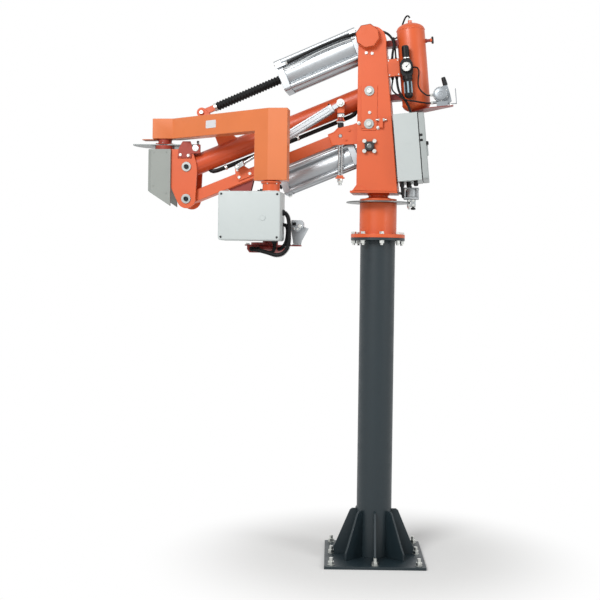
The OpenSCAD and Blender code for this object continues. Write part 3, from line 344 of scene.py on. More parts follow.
def pattern_tree(name, sizes):
    """A Geometry Nodes tree with named sizes and a finish as inputs, and what they give."""
    tree = bpy.data.node_groups.new(name, "GeometryNodeTree")
    sockets = [("Geometry", "INPUT", "Geometry")] + [(size, "INPUT", "Float") for size in sizes]
    sockets += [("Finish", "INPUT", "Material"), ("Geometry", "OUTPUT", "Geometry")]
    for title, way, kind in sockets:
        tree.interface.new_socket(title, in_out=way, socket_type="NodeSocket" + kind)
    return tree, add(tree, "NodeGroupInput").outputs


def closed_tree(tree, given, put):
    """End a pattern's tree: its instances made real and given their finish."""
    real = add(tree, "GeometryNodeRealizeInstances", {0: put.outputs[0]})
    dyed = add(tree, "GeometryNodeSetMaterial", {0: real.outputs[0],
               "Material": given["Finish"]})
    add(tree, "NodeGroupOutput", {0: dyed.outputs[0]})
    return tree


def grown(name, points, edges, pattern, sizes, finish, ways=()):
    """A pattern grown on points and edges as one plain mesh, its inputs set by identifier;
    ways are the directions that its points face."""
    mesh = bpy.data.meshes.new(name)
    mesh.from_pydata([tuple(point) for point in points], edges, [])
    if ways:
        facing = mesh.attributes.new("facing", "FLOAT_VECTOR", "POINT")
        for i, way in enumerate(ways):
            facing.data[i].vector = way
    made = linked(name, mesh)
    modifier = made.modifiers.new("pattern", "NODES")
    modifier.node_group = pattern
    for item in pattern.interface.items_tree:
        if item.in_out == "INPUT" and item.name in sizes:
            modifier[item.identifier] = sizes[item.name]
        elif item.in_out == "INPUT" and item.name == "Finish":
            modifier[item.identifier] = finish
    baked(made)
    return made


def fastener_tree(name, sides, socket):
    """Screws on points: a washer, a head with that many sides, a stud or a hexagon socket."""
    tree, given = pattern_tree(name, SCREW_PARTS)

    def sum_of(a, b, factor=1.0):
        """One height plus a share of another."""
        scaled = add(tree, "ShaderNodeMath", {0: b, 1: factor}, operation="MULTIPLY")
        return add(tree, "ShaderNodeMath", {0: a, 1: scaled.outputs[0]},
                   operation="ADD").outputs[0]

    def drum(count, radius, height, middle):
        """A drum of that many sides, with its middle at that height."""
        made = add(tree, "GeometryNodeMeshCylinder", {"Vertices": count, "Radius": radius,
                   "Depth": height})
        lift = add(tree, "ShaderNodeCombineXYZ", {"Z": middle})
        return add(tree, "GeometryNodeTransform", {"Geometry": made.outputs["Mesh"],
                   "Translation": lift.outputs[0]}).outputs["Geometry"]

    seat = given["Washer Height"]
    head_top = sum_of(seat, given["Head Height"])
    washer = drum(20, given["Washer Radius"], seat, sum_of(0.0, seat, 0.5))
    head = drum(sides, given["Head Radius"], given["Head Height"],
                sum_of(seat, given["Head Height"], 0.5))
    stud = drum(6 if socket else 12, given["Stud Radius"], given["Stud Length"],
                sum_of(head_top, given["Stud Length"], 0.0 if socket else 0.5))
    if socket:
        head = add(tree, "GeometryNodeMeshBoolean", {"Mesh 1": head, "Mesh 2": stud},
                   operation="DIFFERENCE", solver="EXACT").outputs["Mesh"]
    one = add(tree, "GeometryNodeJoinGeometry")
    for part in (washer, head) if socket else (washer, head, stud):
        tree.links.new(part, one.inputs[0])
    facing = add(tree, "GeometryNodeInputNamedAttribute", {"Name": "facing"},
                 data_type="FLOAT_VECTOR")
    stand = add(tree, "FunctionNodeAlignRotationToVector",
                {"Vector": facing.outputs["Attribute"]}, axis="Z")
    spin = add(tree, "FunctionNodeRandomValue", {2: 0.0, 3: 1.047, "Seed": 7},
               data_type="FLOAT")
    turn = add(tree, "ShaderNodeCombineXYZ", {"Z": spin.outputs[1]})
    own_turn = add(tree, "FunctionNodeRotateRotation", {"Rotation": stand.outputs[0],
                   "Rotate By": turn.outputs[0]}, rotation_space="LOCAL")
    put = add(tree, "GeometryNodeInstanceOnPoints", {"Points": given["Geometry"],
              "Instance": one.outputs[0], "Rotation": own_turn.outputs[0]})
    return closed_tree(tree, given, put)


hex_pattern = fastener_tree("hexagon_fasteners", 6, False)
socket_pattern = fastener_tree("socket_screws", 24, True)


def fasten(name, pattern, pairs, finish, body, sizes):
    """Screws standing at (place, direction) pairs, as one plain mesh on a body."""
    places, ways = zip(*pairs)
    return finished(grown(name, places, [], pattern, sizes, finish, ways), finish, body)


# Bright zinc plate: small hard glints that pick every nut and screw out of the paint
zinc_plate = metal("zinc_plate", "#D6D8D4", rough=0.30, scale=50.0)
UP = Vector((0, 0, 1))
foot_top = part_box("base_plate")[1][2]
ANCHOR_NUT = screw((0.0173, 0.016), (0.0185, 0.003), (0.010, 0.020))
anchor_spots = [((i * STUD_ROW, j * STUD_ROW, foot_top), UP)
                for i in (-1, 0, 1) for j in (-1, 0, 1) if i or j]
fasten("floor_anchors", hex_pattern, anchor_spots, zinc_plate, "column", ANCHOR_NUT)

# ---------------------------------------------------------------- Column flange bolts
# Eight M16 hexagon bolts clamp the slewing housing's flange on the column's flange, with
# washers under the heads, and nuts and thread ends showing below.
BOLT_CIRCLE, BOLT_START, BOLT_COUNT = 0.135, 6.7, 8
M16_HEAD = screw((0.0139, 0.010), (0.0146, 0.003), (0.002, 0.0005))
M16_NUT = screw((0.0139, 0.013), (0.0146, 0.003), (0.008, 0.010))
flange_low, flange_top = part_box("column_flange")
HOUSING_FLANGE = 0.020


def around(radius, count, start=0.0, closed=False):
    """Points spaced evenly round a circle from an angle in degrees; closed, the last one
    is on the first."""
    angles = [math.radians(start + 360 * i / count) for i in range(count + closed)]
    return [(radius * math.cos(a), radius * math.sin(a)) for a in angles]


ring = around(BOLT_CIRCLE, BOLT_COUNT, BOLT_START)
fasten("flange_bolt_heads", hex_pattern,
       [((x, y, flange_top[2] + HOUSING_FLANGE), UP) for x, y in ring], zinc_plate, "column",
       M16_HEAD)
fasten("flange_bolt_nuts", hex_pattern, [((x, y, flange_low[2]), -UP) for x, y in ring],
       zinc_plate, "column", M16_NUT)

# ---------------------------------------------------------------- Slewing unit
# A turned steel housing with a flange, sprayed orange, the thin ground-steel disc that the
# slewing brake grips, and the orange hub with a conical neck that turns above it.

# Orange enamel: a full orange, dulled a little, with a soft sheen
orange_enamel = enamel("orange_enamel", "#DB5F2E", rough=0.40, clear=0.08, drift=0.05)
# Ground steel: a mid grey that catches the light as one broad streak
ground_steel = metal("ground_steel", "#7E8382", rough=0.36, scale=80.0)
for node in ("slew_housing", "slew_hub"):
    dress(node, orange_enamel, edge=0.002)
dress("slew_disc", ground_steel, edge=0.0006)

# ---------------------------------------------------------------- Tower
# Two laser-cut side plates with strap doublers, welded to a slanted rear plate and a foot
# plate, and sprayed orange. The arm's two pivot pins are held by washers and cap screws.
JOINT = {joint["name"]: joint for joint in frame["record"]["behaviour"]["joints"]}
across = Vector(JOINT["arm_lift"]["axis"])
ARM_TURN = Matrix.Rotation(-math.atan2(across.x, across.y), 3, "Z")
ARM_FRAME = ARM_TURN.to_4x4()
CAMERA_SIDE = ARM_TURN @ Vector((0, -1, 0))
# The near side is -1 and the far side 1, each with the direction that it faces
SIDES = ((-1, CAMERA_SIDE), (1, -CAMERA_SIDE))
SIDE_NAME = {-1: "near", 1: "far"}
BEHIND = ARM_TURN @ Vector((1, 0, 0))
TOWER_FACE = 0.112
STRAP_FACE = TOWER_FACE + 0.006
PIN_WASHER = 0.006
TOWER_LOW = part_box("tower_spine")[0][2]
REAR_LOW, REAR_TOP, REAR_RISE = 0.109, 0.037, 0.786
LEAN = math.atan2(REAR_LOW - REAR_TOP, REAR_RISE)


def stand(x, y, z):
    """A point of the arm's own frame, x behind the column axis and y to the far side."""
    return ARM_TURN @ Vector((x, y, z))


def pivot(name):
    """A joint's place in the arm's own frame."""
    return ARM_TURN.inverted() @ Vector(JOINT[name]["pos_m"])


def framed(origin, along, up):
    """A frame at a point: its X runs along, its Z as near up as it can."""
    x = Vector(along).normalized()
    z = (Vector(up) - Vector(up).dot(x) * x).normalized()
    return Matrix.Translation(origin) @ Matrix((x, z.cross(x), z)).transposed().to_4x4()


def spots(where, places, way):
    """Places and one direction of a frame, as the pairs that screws stand on."""
    return [(where @ Vector(place), where.to_3x3() @ Vector(way)) for place in places]


def on_rear(z):
    """The frame of the slanted rear plate at a height: X behind, Y to the far side."""
    x = REAR_LOW - (z - TOWER_LOW) * math.tan(LEAN)
    return framed(stand(x, 0, z), ARM_TURN @ Vector((math.cos(LEAN), 0, math.sin(LEAN))),
                  ARM_TURN @ Vector((-math.sin(LEAN), 0, math.cos(LEAN))))


def piece(name, shape, where, finish, body, edge=0.0, crease=CREASE):
    """A bmesh set in a frame, its faces outward, with broken edges, on its body."""
    bmesh.ops.remove_doubles(shape, verts=shape.verts, dist=MERGE)
    bmesh.ops.recalc_face_normals(shape, faces=shape.faces)
    bmesh.ops.transform(shape, matrix=where, verts=shape.verts)
    return finished(broken(formed(name, shape), edge), finish, body, crease)


def prism(shape, outline, low, high):
    """Add the outline (x, z) standing from y low to high to a bmesh."""
    rings = [[shape.verts.new((x, y, z)) for x, z in outline] for y in (low, high)]
    count = len(outline)
    shape.faces.new(rings[0])
    shape.faces.new(rings[1])
    for i in range(count):
        k = (i + 1) % count
        shape.faces.new((rings[0][i], rings[0][k], rings[1][k], rings[1][i]))


def plates(name, outlines, low, high, where, finish, body, edge=0.001):
    """Plates cut to outlines in a frame's X-Z plane, standing from y low to high."""
    shape = bmesh.new()
    for outline in outlines:
        prism(shape, outline, low, high)
    return piece(name, shape, where, finish, body, edge)


def oblong(x, z, corner=0.0, steps=5):
    """A rectangle's outline between two x and two z, with its corners rounded."""
    if corner <= 0:
        return [(x[0], z[0]), (x[1], z[0]), (x[1], z[1]), (x[0], z[1])]
    points = []
    for cx, cz, start in ((x[1] - corner, z[1] - corner, 0), (x[0] + corner, z[1] - corner, 90),
                          (x[0] + corner, z[0] + corner, 180),
                          (x[1] - corner, z[0] + corner, 270)):
        for i in range(steps + 1):
            a = math.radians(start + 90 * i / steps)
            points.append((cx + corner * math.cos(a), cz + corner * math.sin(a)))
    return points


def turned(name, profile, steps, where, place, way, finish, body, crease=CREASE):
    """A turned piece: (radius, height) points spun about a direction of a frame, standing
    at one of its places."""
    shape = bmesh.new()
    rows = []
    for r, h in profile:
        count = 1 if r < MERGE else steps
        rows.append([shape.verts.new((r * math.cos(2 * math.pi * i / steps),
                                      r * math.sin(2 * math.pi * i / steps), h))
                     for i in range(count)])
    for low, high in zip(rows, rows[1:]):
        for i in range(steps):
            ring_of = [low[i % len(low)], low[(i + 1) % len(low)],
                       high[(i + 1) % len(high)], high[i % len(high)]]
            corners = list(dict.fromkeys(ring_of))
            if len(corners) > 2:
                shape.faces.new(corners)
    turn = (where.to_3x3() @ Vector(way)).to_track_quat("Z", "Y").to_matrix().to_4x4()
    return piece(name, shape, Matrix.Translation(where @ Vector(place)) @ turn, finish, body,
                 crease=crease)


def weld_tree():
    """A ripple of weld metal laid along the edges it is given."""
    tree, given = pattern_tree("weld_bead", ("Bead Radius", "Ripple Length"))
    path = add(tree, "GeometryNodeMeshToCurve", {"Mesh": given["Geometry"]})
    dots = add(tree, "GeometryNodeCurveToPoints", {"Curve": path.outputs[0],
               "Length": given["Ripple Length"]}, mode="LENGTH")
    drop = add(tree, "GeometryNodeMeshUVSphere", {"Segments": 8, "Rings": 5,
               "Radius": given["Bead Radius"]})
    swell = add(tree, "FunctionNodeRandomValue", {2: 0.85, 3: 1.0, "Seed": 3},
                data_type="FLOAT")
    put = add(tree, "GeometryNodeInstanceOnPoints", {"Points": dots.outputs["Points"],
              "Instance": drop.outputs["Mesh"], "Scale": swell.outputs[1]})
    return closed_tree(tree, given, put)


weld_pattern = weld_tree()


def welded(name, runs, finish, body, radius=0.0035, ripple=0.004):
    """Weld beads along runs of points, rippled more coarsely than real ones so as to show."""
    points, edges = [], []
    for run in runs:
        edges += [(len(points) + i, len(points) + i + 1) for i in range(len(run) - 1)]
        points += run
    made = grown(name, points, edges, weld_pattern,
                 {"Bead Radius": radius, "Ripple Length": ripple}, finish)
    return finished(made, finish, body)


for node in ("tower_front_plate", "tower_back_plate", "tower_spine"):
    dress(node, orange_enamel, edge=0.0015)
# Galvanised steel: cloudy and dull beside the zinc-plated screws on it
galvanised = metal("galvanised_steel", "#A3A7A5", rough=0.42, drift=0.1, scale=70.0, bumpy=0.1)
dress("tower_pins", galvanised, edge=0.001)
FOOT_PLATE = 0.012
plate_top = TOWER_LOW + FOOT_PLATE
tower_seams = []
for side in (-1, 1):
    y = side * TOWER_FACE
    tower_seams.append([stand(x, y, plate_top) for x in (-0.135, REAR_LOW - 0.004)])
    tower_seams.append([stand(REAR_LOW - (z - TOWER_LOW) * math.tan(LEAN), side * 0.102, z)
                        for z in (plate_top, TOWER_LOW + REAR_RISE)])
welded("tower_welds", tower_seams, orange_enamel, "tower")

CAP_SCREW = screw((0.012, 0.010), (0.0135, 0.001), (0.0075, 0.007))
SMALL_SCREW = screw((0.0075, 0.006), (0.0085, 0.001), (0.0045, 0.004))
arm_p, tie_p = pivot("arm_lift"), pivot("tie_turn")
pivot_spots = [(stand(p.x, side * (STRAP_FACE + PIN_WASHER), p.z), way)
               for p in (arm_p, tie_p) for side, way in SIDES]
fasten("pivot_screws", socket_pattern, pivot_spots, zinc_plate, "tower", CAP_SCREW)

# Strap and cover screws: one in the strap's middle and two above it, on both sides
up_p = pivot("upper_barrel_turn")
strap_spots = [(stand(arm_p.x + 0.003, side * STRAP_FACE, tie_p.z + 0.062), way)
               for side, way in SIDES]
cover_spots = [(stand(up_p.x + dx, side * TOWER_FACE, up_p.z - 0.086 + dz), way)
               for dx, dz in ((-0.008, 0), (0.024, -0.003))
               for side, way in SIDES]
fasten("strap_screws", socket_pattern, strap_spots + cover_spots, zinc_plate, "tower",
       SMALL_SCREW)

# The arm's end stop: a small welded lug behind the tie pivot with an adjusting bolt
# through it and a locking nut on each side, and a fixed screw in front of the pivot
STOP_BOLT = screw((0.009, 0.007), (0.010, 0.001), (0.005, 0.012))
STOP_X, STOP_Z = 0.067, 0.022
stop_frame = framed(stand(tie_p.x, -TOWER_FACE, tie_p.z), BEHIND, UP)
plates("stop_lug", [[(STOP_X - 0.010, -0.022), (STOP_X + 0.010, -0.022),
                     (STOP_X + 0.010, 0.030), (STOP_X - 0.006, 0.034),
                     (STOP_X - 0.010, 0.030)]], -0.019, 0.0, stop_frame, orange_enamel,
       "tower", edge=0.0015)
stop_spots = (spots(stop_frame, [(STOP_X - 0.010, -0.010, STOP_Z)], (-1, 0, 0))
              + spots(stop_frame, [(STOP_X + 0.010, -0.010, STOP_Z)], (1, 0, 0))
              + spots(stop_frame, [(-0.056, 0, 0.005), (STOP_X - 0.018, 0, -0.020)],
                      (0, -1, 0)))
fasten("stop_bolts", hex_pattern, stop_spots, zinc_plate, "tower", STOP_BOLT)

# A lifting lug welded at the front foot of each side plate
foot_frame = framed(stand(-0.093, 0, plate_top), BEHIND, UP)
LUG_THICK = 0.006
LUG = [(-0.028, 0.0), (0.034, 0.0), (0.034, 0.006), (0.012, 0.020), (-0.016, 0.020),
       (-0.028, 0.008)]
for side, low in ((-1, -TOWER_FACE - LUG_THICK), (1, TOWER_FACE)):
    plates("foot_lug_" + SIDE_NAME[side], [LUG], low, low + LUG_THICK, foot_frame,
           orange_enamel, "tower", edge=0.0015)

# ---------------------------------------------------------------- Pivot caps and bearings
# Eight-sided orange caps over the upper cylinder's pivot pin; below, the lower cylinder's
# pin runs in four-bolt flange bearings of black cast iron with bright ball races.
PIVOT_SCREW = screw((0.0095, 0.008), (0.011, 0.002), (0.005, 0.004))
# Painted cast iron: black and coarse, so that it keeps hardly any highlight
black_iron = metal("black_cast_iron", "#1B1D1F", rough=0.5, drift=0.1, scale=140.0, bumpy=0.3,
                   metallic=0.0)
dress("pivot_caps", orange_enamel, edge=0.0025)
dress("pivot_bearings", black_iron, edge=0.0015)
low_p = pivot("lower_barrel_turn")
BEARING_BOLT = 0.039
BEARING_FACE = TOWER_FACE + 0.012
RACE = [(0, 0), (0.0135, 0), (0.0135, 0.004), (0.011, 0.005), (0.009, 0.005), (0.008, 0.003),
        (0.004, 0.003), (0.003, 0.004), (0, 0.004)]
bearing_spots = []
for side, way in SIDES:
    bearing_spots += [(stand(low_p.x + x, side * BEARING_FACE, low_p.z + z), way)
                      for x, z in around(BEARING_BOLT, 4, 45)]
    turned("bearing_race_" + SIDE_NAME[side], RACE, 32, ARM_FRAME,
           (low_p.x, side * (TOWER_FACE + 0.018), low_p.z), (0, side, 0), ground_steel, "tower")
fasten("bearing_bolts", socket_pattern, bearing_spots, zinc_plate, "tower", PIVOT_SCREW)

# ---------------------------------------------------------------- Slewing brake
# An air brake of die-cast aluminium bolted behind the hub: a diaphragm between two square
# flanges above the jaws, with black adjusting knobs and a locking nut below.

# Die-cast aluminium: pale and finely pebbled, with no clear reflection
cast_aluminium = metal("die_cast_aluminium", "#AEB2B4", rough=0.48, drift=0.08, scale=120.0,
                       bumpy=0.25)
dress("slew_brake", cast_aluminium, edge=0.002)


def moulded(name, code, rough=0.45, **settings):
    """Plastic, rubber, print or glass: the same slow drift of tone, with no metal in it."""
    return metal(name, code, rough, metallic=0.0, **settings)


# Moulded nylon: a satin black with only a weak highlight
black_plastic = moulded("moulded_nylon", "#111214", rough=0.45, drift=0.1, scale=200.0, bumpy=0.1,
                        sheen=0.3)
brake_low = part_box("slew_brake")[0]
disc_low, disc_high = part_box("slew_disc")
DISC_RADIUS = (disc_high[0] - disc_low[0]) / 2
FLANGE_MIDDLE, FLANGE_RISE, CHEEK = 0.005, 0.028, 0.025
JAW_NUT = screw((0.0065, 0.005), (0.0072, 0.001), (0.0035, 0.003))
flange_corners = [(stand(DISC_RADIUS + FLANGE_MIDDLE + i * 0.032, j * 0.028,
                         TOWER_LOW + FLANGE_RISE), -UP) for i in (-1, 1) for j in (-1, 1)]
jaw_spots = [(stand(DISC_RADIUS + dx, side * CHEEK, brake_low[2] + dz), way)
             for dx in (-0.006, 0.018) for dz in (0.006, 0.032)
             for side, way in SIDES]
fasten("brake_screws", hex_pattern, flange_corners + jaw_spots, zinc_plate, "tower", JAW_NUT)
KNOB = [(0, 0), (0.006, 0), (0.006, 0.005), (0.012, 0.006), (0.0135, 0.010), (0.0135, 0.016),
        (0.011, 0.018), (0, 0.019)]
knob_low = brake_low[2] + 0.0005
turned("brake_knob", KNOB, 24, ARM_FRAME, (DISC_RADIUS + 0.016, -0.008, knob_low), (0, 0, -1),
       black_plastic, "tower")
JAW_STUD = screw((0.0085, 0.008), (0.0095, 0.0015), (0.004, 0.006))
fasten("brake_nuts", hex_pattern,
       [(stand(DISC_RADIUS - 0.008, y, knob_low), -UP) for y in (-0.014, 0.012)], zinc_plate,
       "tower", JAW_STUD)

# ---------------------------------------------------------------- Junction box
# A shallow pressed-steel box screwed to the rear plate, orange as the tower, with recessed
# lid screws; the air lines go in through its top and out through its bottom.
dress("junction_box", orange_enamel, edge=0.0015)
BOX_RISE, BOX_DEEP, BOX_TALL, BOX_FACE = 0.127, 0.066, 0.094, -0.104
LID_SCREW = screw((0.0036, 0.006), (0.0037, 0.0005), (0.002, 0.003))
box_frame = on_rear(arm_p.z + BOX_RISE)
lid_corners = [(x, BOX_FACE + 0.008, z) for x in (0.008, BOX_DEEP - 0.008)
               for z in (0.008 - BOX_TALL / 2, BOX_TALL / 2 - 0.008)]
fasten("junction_lid_screws", socket_pattern, spots(box_frame, lid_corners, (0, -1, 0)),
       zinc_plate, "tower", LID_SCREW)

# ---------------------------------------------------------------- Air tank
# A welded steel pressure vessel with domed ends on two red cradles, sprayed orange, with a
# plated fitting on top and a small valve with a black handle on its back.

# Red enamel: a dark brownish red that sets the brackets off from the orange
red_enamel = enamel("red_enamel", "#8C2A20", rough=0.40, clear=0.08, drift=0.08)
dress("air_tank", orange_enamel, edge=0.0008)
dress("tank_brackets", red_enamel, edge=0.001)
TANK_RADIUS, TANK_TALL, TANK_RISE, DOME = 0.0775, 0.495, 0.134, 0.040
tank_frame = on_rear(arm_p.z + TANK_RISE)
tank_mid = tank_frame @ Matrix.Translation((TANK_RADIUS + 0.062, 0, 0))
seams = []
for z in (DOME - TANK_TALL / 2, TANK_TALL / 2 - DOME):
    seams.append([tank_mid @ Vector((x, y, z)) for x, y in around(TANK_RADIUS, 60, closed=True)])
SEAM_TURN = 2.2
seam_x, seam_y = TANK_RADIUS * math.cos(SEAM_TURN), TANK_RADIUS * math.sin(SEAM_TURN)
seams.append([tank_mid @ Vector((seam_x, seam_y, z))
              for z in (DOME - TANK_TALL / 2, TANK_TALL / 2 - DOME)])
welded("tank_seams", seams, orange_enamel, "tower", radius=0.0025, ripple=0.0035)
NIPPLE = [(0, 0), (0.0125, 0), (0.0125, 0.012), (0.0095, 0.013), (0.0095, 0.016),
          (0.0105, 0.017), (0.0105, 0.028), (0.008, 0.029), (0, 0.029)]
turned("tank_nipple", NIPPLE, 6, tank_mid, (0, 0, TANK_TALL / 2 - 0.0005), (0, 0, 1), zinc_plate,
       "tower")
STEM = [(0, 0), (0.0115, 0), (0.0115, 0.008), (0.0085, 0.009), (0.0085, 0.026), (0, 0.026)]
valve_z = TANK_TALL / 2 - 0.105
turned("tank_valve_stem", STEM, 24, tank_mid, (TANK_RADIUS - 0.0005, 0, valve_z), (1, 0, 0),
       red_enamel, "tower")
plates("tank_valve_handle", [oblong((0.1105, 0.1225), (valve_z - 0.019, valve_z + 0.019), 0.005)],
       -0.009, 0.009, tank_mid, black_plastic, "tower", edge=0.0015)

# ---------------------------------------------------------------- Filter and regulator
# A moulded black filter and pressure regulator: a knob with gripping ribs, a gauge with a
# white dial, and a bowl with clear windows in its guard.
dress("air_regulator", black_plastic, edge=0.0006)
reg_frame = tank_frame @ Matrix.Translation((TANK_RADIUS + 0.027, -TANK_RADIUS - 0.034, -0.018))
# Printed dial: a flat paper white with no gloss
dial_white = enamel("printed_dial", "#F1F2EE", rough=0.5, clear=0.0, drift=0.01, peel=0.0,
                    grime=0.02)
# Clear polycarbonate: bluish and shiny, standing for clear windows on a dark bowl
sight_glass = moulded("clear_polycarbonate", "#A9C3CF", rough=0.12, drift=0.15, scale=30.0,
                      bumpy=0.0)
# Dial print: a matt black ink
print_black = moulded("dial_print", "#1A1A1A", rough=0.6, drift=0.05, scale=80.0)
GAUGE_FACE, DIAL = -0.0425, 0.0245
turned("gauge_dial", [(0, 0), (DIAL, 0), (DIAL, 0.0006), (0, 0.0006)], 48, reg_frame,
       (0, GAUGE_FACE, 0), (0, -1, 0), dial_white, "tower")
marks = bmesh.new()
for i in range(19):
    a = math.radians(225 - 15 * i)
    inner = DIAL * (0.72 if i % 3 == 0 else 0.82)
    ray, side = Vector((math.cos(a), math.sin(a))), Vector((-math.sin(a), math.cos(a)))
    wide = 0.0007 if i % 3 == 0 else 0.0004
    corners = [ray * inner - side * wide, ray * DIAL * 0.93 - side * wide,
               ray * DIAL * 0.93 + side * wide, ray * inner + side * wide]
    prism(marks, [tuple(corner) for corner in corners], GAUGE_FACE - 0.0010,
          GAUGE_FACE - 0.0005)
prism(marks, [(-0.004, -0.0035), (-0.0005, -0.0045), (0.0150, 0.0125), (0.0140, 0.0135)],
      GAUGE_FACE - 0.0018, GAUGE_FACE - 0.0011)
piece("gauge_marks", marks, reg_frame, print_black, "tower")
turned("gauge_boss", [(0, 0), (0.004, 0), (0.003, 0.002), (0, 0.002)], 20, reg_frame,
       (0, GAUGE_FACE - 0.0008, 0), (0, -1, 0), print_black, "tower")
ribs = bmesh.new()
for i in range(24):
    a = 2 * math.pi * i / 24
    mid = Vector((0.0192 * math.cos(a), 0.0192 * math.sin(a), 0.087))
    turn = Matrix.Translation(mid) @ Matrix.Rotation(a, 4, "Z")
    bmesh.ops.create_cube(ribs, size=1.0, matrix=turn @ Matrix.Diagonal((0.002, 0.0022, 0.048, 1)))
piece("regulator_knob_ribs", ribs, reg_frame, black_plastic, "tower")
turned("regulator_ring", [(0.0165, 0), (0.0205, 0), (0.0205, 0.005), (0.0165, 0.005), (0.0165, 0)],
       40, reg_frame, (0, 0, 0.0505), (0, 0, 1), zinc_plate, "tower")
windows = bmesh.new()
for i in range(6):
    a = math.radians(60 * i - 90)
    turn = Matrix.Rotation(a, 4, "Z") @ Matrix.Translation((0.0225, 0, -0.108))
    bmesh.ops.create_cube(windows, size=1.0,
                          matrix=turn @ Matrix.Diagonal((0.0036, 0.009, 0.062, 1)))
piece("bowl_windows", windows, reg_frame, sight_glass, "tower", edge=0.0008)

# ---------------------------------------------------------------- Hand valve
# A round diaphragm valve with a cast cover and screws through its rim, on a cast body
# with plated ports, a tilted black knob and a thin painted side bracket.

# Anodised aluminium: a pale satin grey, brighter where a barrel's flats face the lamp
anodised = metal("anodised_aluminium", "#B2B6B9", 0.42, scale=40.0, bumpy=0.05)
# Cast valve body: a darker, grainier grey than the anodised parts
valve_metal = metal("cast_valve_body", "#8E9397", rough=0.45, scale=120.0, bumpy=0.2)
dress("hand_valve", valve_metal, edge=0.001)
SHELF = 0.002 - TANK_TALL / 2
valve_frame = tank_frame @ Matrix.Translation((0.277, -0.114, SHELF))
# Cast cover: a shade lighter than the body, so that the cover's rings show
diaphragm_grey = metal("cast_cover", "#9FA4A8", rough=0.45, scale=120.0, bumpy=0.15)
turned("valve_diaphragm",
       [(0, 0), (0.033, 0), (0.033, 0.0015), (0.0305, 0.003), (0.014, 0.004), (0.012, 0.0025),
        (0.006, 0.0025), (0.005, 0.004), (0, 0.004)], 48, valve_frame, (0, -0.022, 0.066),
       (0, -1, 0), diaphragm_grey, "tower")
RIM_CIRCLE, VALVE_RISE = 0.0375, 0.066
rim = [(x, -0.014, VALVE_RISE + z) for x, z in around(RIM_CIRCLE, 6, 30)]
RIM_SCREW = screw((0.0028, 0.003), (0.003, 0.0004), (0.0015, 0.0015))
fasten("valve_rim_screws", socket_pattern, spots(valve_frame, rim, (0, -1, 0)), zinc_plate,
       "tower", RIM_SCREW)
knob_turn = valve_frame @ Matrix.Translation((0.031, 0.012, 0.106)) @ Matrix.Rotation(
    math.radians(-12), 4, "Y")
turned("valve_knob",
       [(0, 0.009), (0.0129, 0.009), (0.0132, 0.020), (0.0126, 0.024), (0.0131, 0.028),
        (0.0115, 0.050), (0.010, 0.0545), (0, 0.0545)], 32, knob_turn, (0, 0, 0), (0, 0, 1),
       black_plastic, "tower")
for i, z in enumerate((0.024, 0.066)):
    turned("valve_port_%d" % i,
           [(0, 0), (0.0078, 0), (0.0088, 0.002), (0.0088, 0.012), (0.0072, 0.014),
            (0.0072, 0.030), (0, 0.030)], 6, valve_frame, (-0.0565, -0.002, z), (1, 0, 0),
           zinc_plate, "tower")
PLATE_SCREW = screw((0.006, 0.005), (0.007, 0.001), (0.003, 0.003))
fasten("shelf_screws", hex_pattern,
       spots(valve_frame, [(0.050, -0.008, 0.0), (0.050, 0.010, 0.0), (-0.150, 0.085, 0.0)],
             (0, 0, 1)), zinc_plate, "tower", PLATE_SCREW)

# ---------------------------------------------------------------- Tower hoses
# Extruded polyurethane air lines, black, between the tank, the valves, the junction box
# and the cabinet, each pushed into a plated or nylon fitting.

# Extruded rubber: the deepest black here, with one faint line of light along it
black_rubber = moulded("extruded_rubber", "#0C0D0E", 0.5, drift=0.12, scale=90.0, bumpy=0.15,
                       sheen=0.25)


def hose(node, finish):
    """A CAD hose rounded by subdivision, with its cut ends kept flat."""
    shape = merged(node, flat=0.05)
    sharp = shape.edges.layers.float.new("crease_edge")
    for line in shape.edges:
        if len(line.link_faces) == 2 and line.calc_face_angle() > math.radians(62):
            line[sharp] = 1.0
    made = formed(node + "_skin", shape)
    smooth = made.modifiers.new("rounded", "SUBSURF")
    smooth.levels = smooth.render_levels = 2
    baked(made)
    finished(made, finish, BODY_OF[node], crease=50)
    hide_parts(node)
    return made


hose("tower_hoses", black_rubber)
FITTING = [(0, 0), (0.0085, 0), (0.0095, 0.0015), (0.0095, 0.009), (0.0072, 0.011),
           (0.0072, 0.015), (0, 0.015)]
for name, x, y, way in (("top", 0.048, -0.056, 1), ("thick", 0.028, -0.068, 1),
                        ("low_a", 0.045, -0.068, -1), ("low_b", 0.022, -0.068, -1)):
    turned("box_gland_" + name, FITTING, 6, box_frame, (x, y, way * (BOX_TALL / 2 - 0.0005)),
           (0, 0, way), black_plastic, "tower")

# ---------------------------------------------------------------- Control cabinet
# A folded steel cabinet in textured light grey enamel with a hinged door, a black sealing
# strip, a lever latch, and nylon glands underneath for the cables.

# Light grey enamel: a cool, slightly green grey with a soft sheen
grey_enamel = enamel("grey_enamel", "#C0C7C6", rough=0.45, clear=0.04, drift=0.03)
# Door enamel: the body's own grey painted a shade darker, as painted shade on the door, which is
# the same enamel as the body
door_grey_painted_shade = enamel("door_grey_painted_shade", "#AAB0AF", rough=0.45, clear=0.04, drift=0.03)
CAB_LOW, CAB_TALL, CAB_WIDE, CAB_OFF, CAB_DEEP = 0.058, 0.366, 0.300, 0.010, 0.132
DOOR_DEEP, DOOR_GAP = 0.031, 0.005
dress("cabinet_body", grey_enamel, edge=0.0015)
cab_frame = on_rear(TOWER_LOW + CAB_LOW + CAB_TALL / 2)


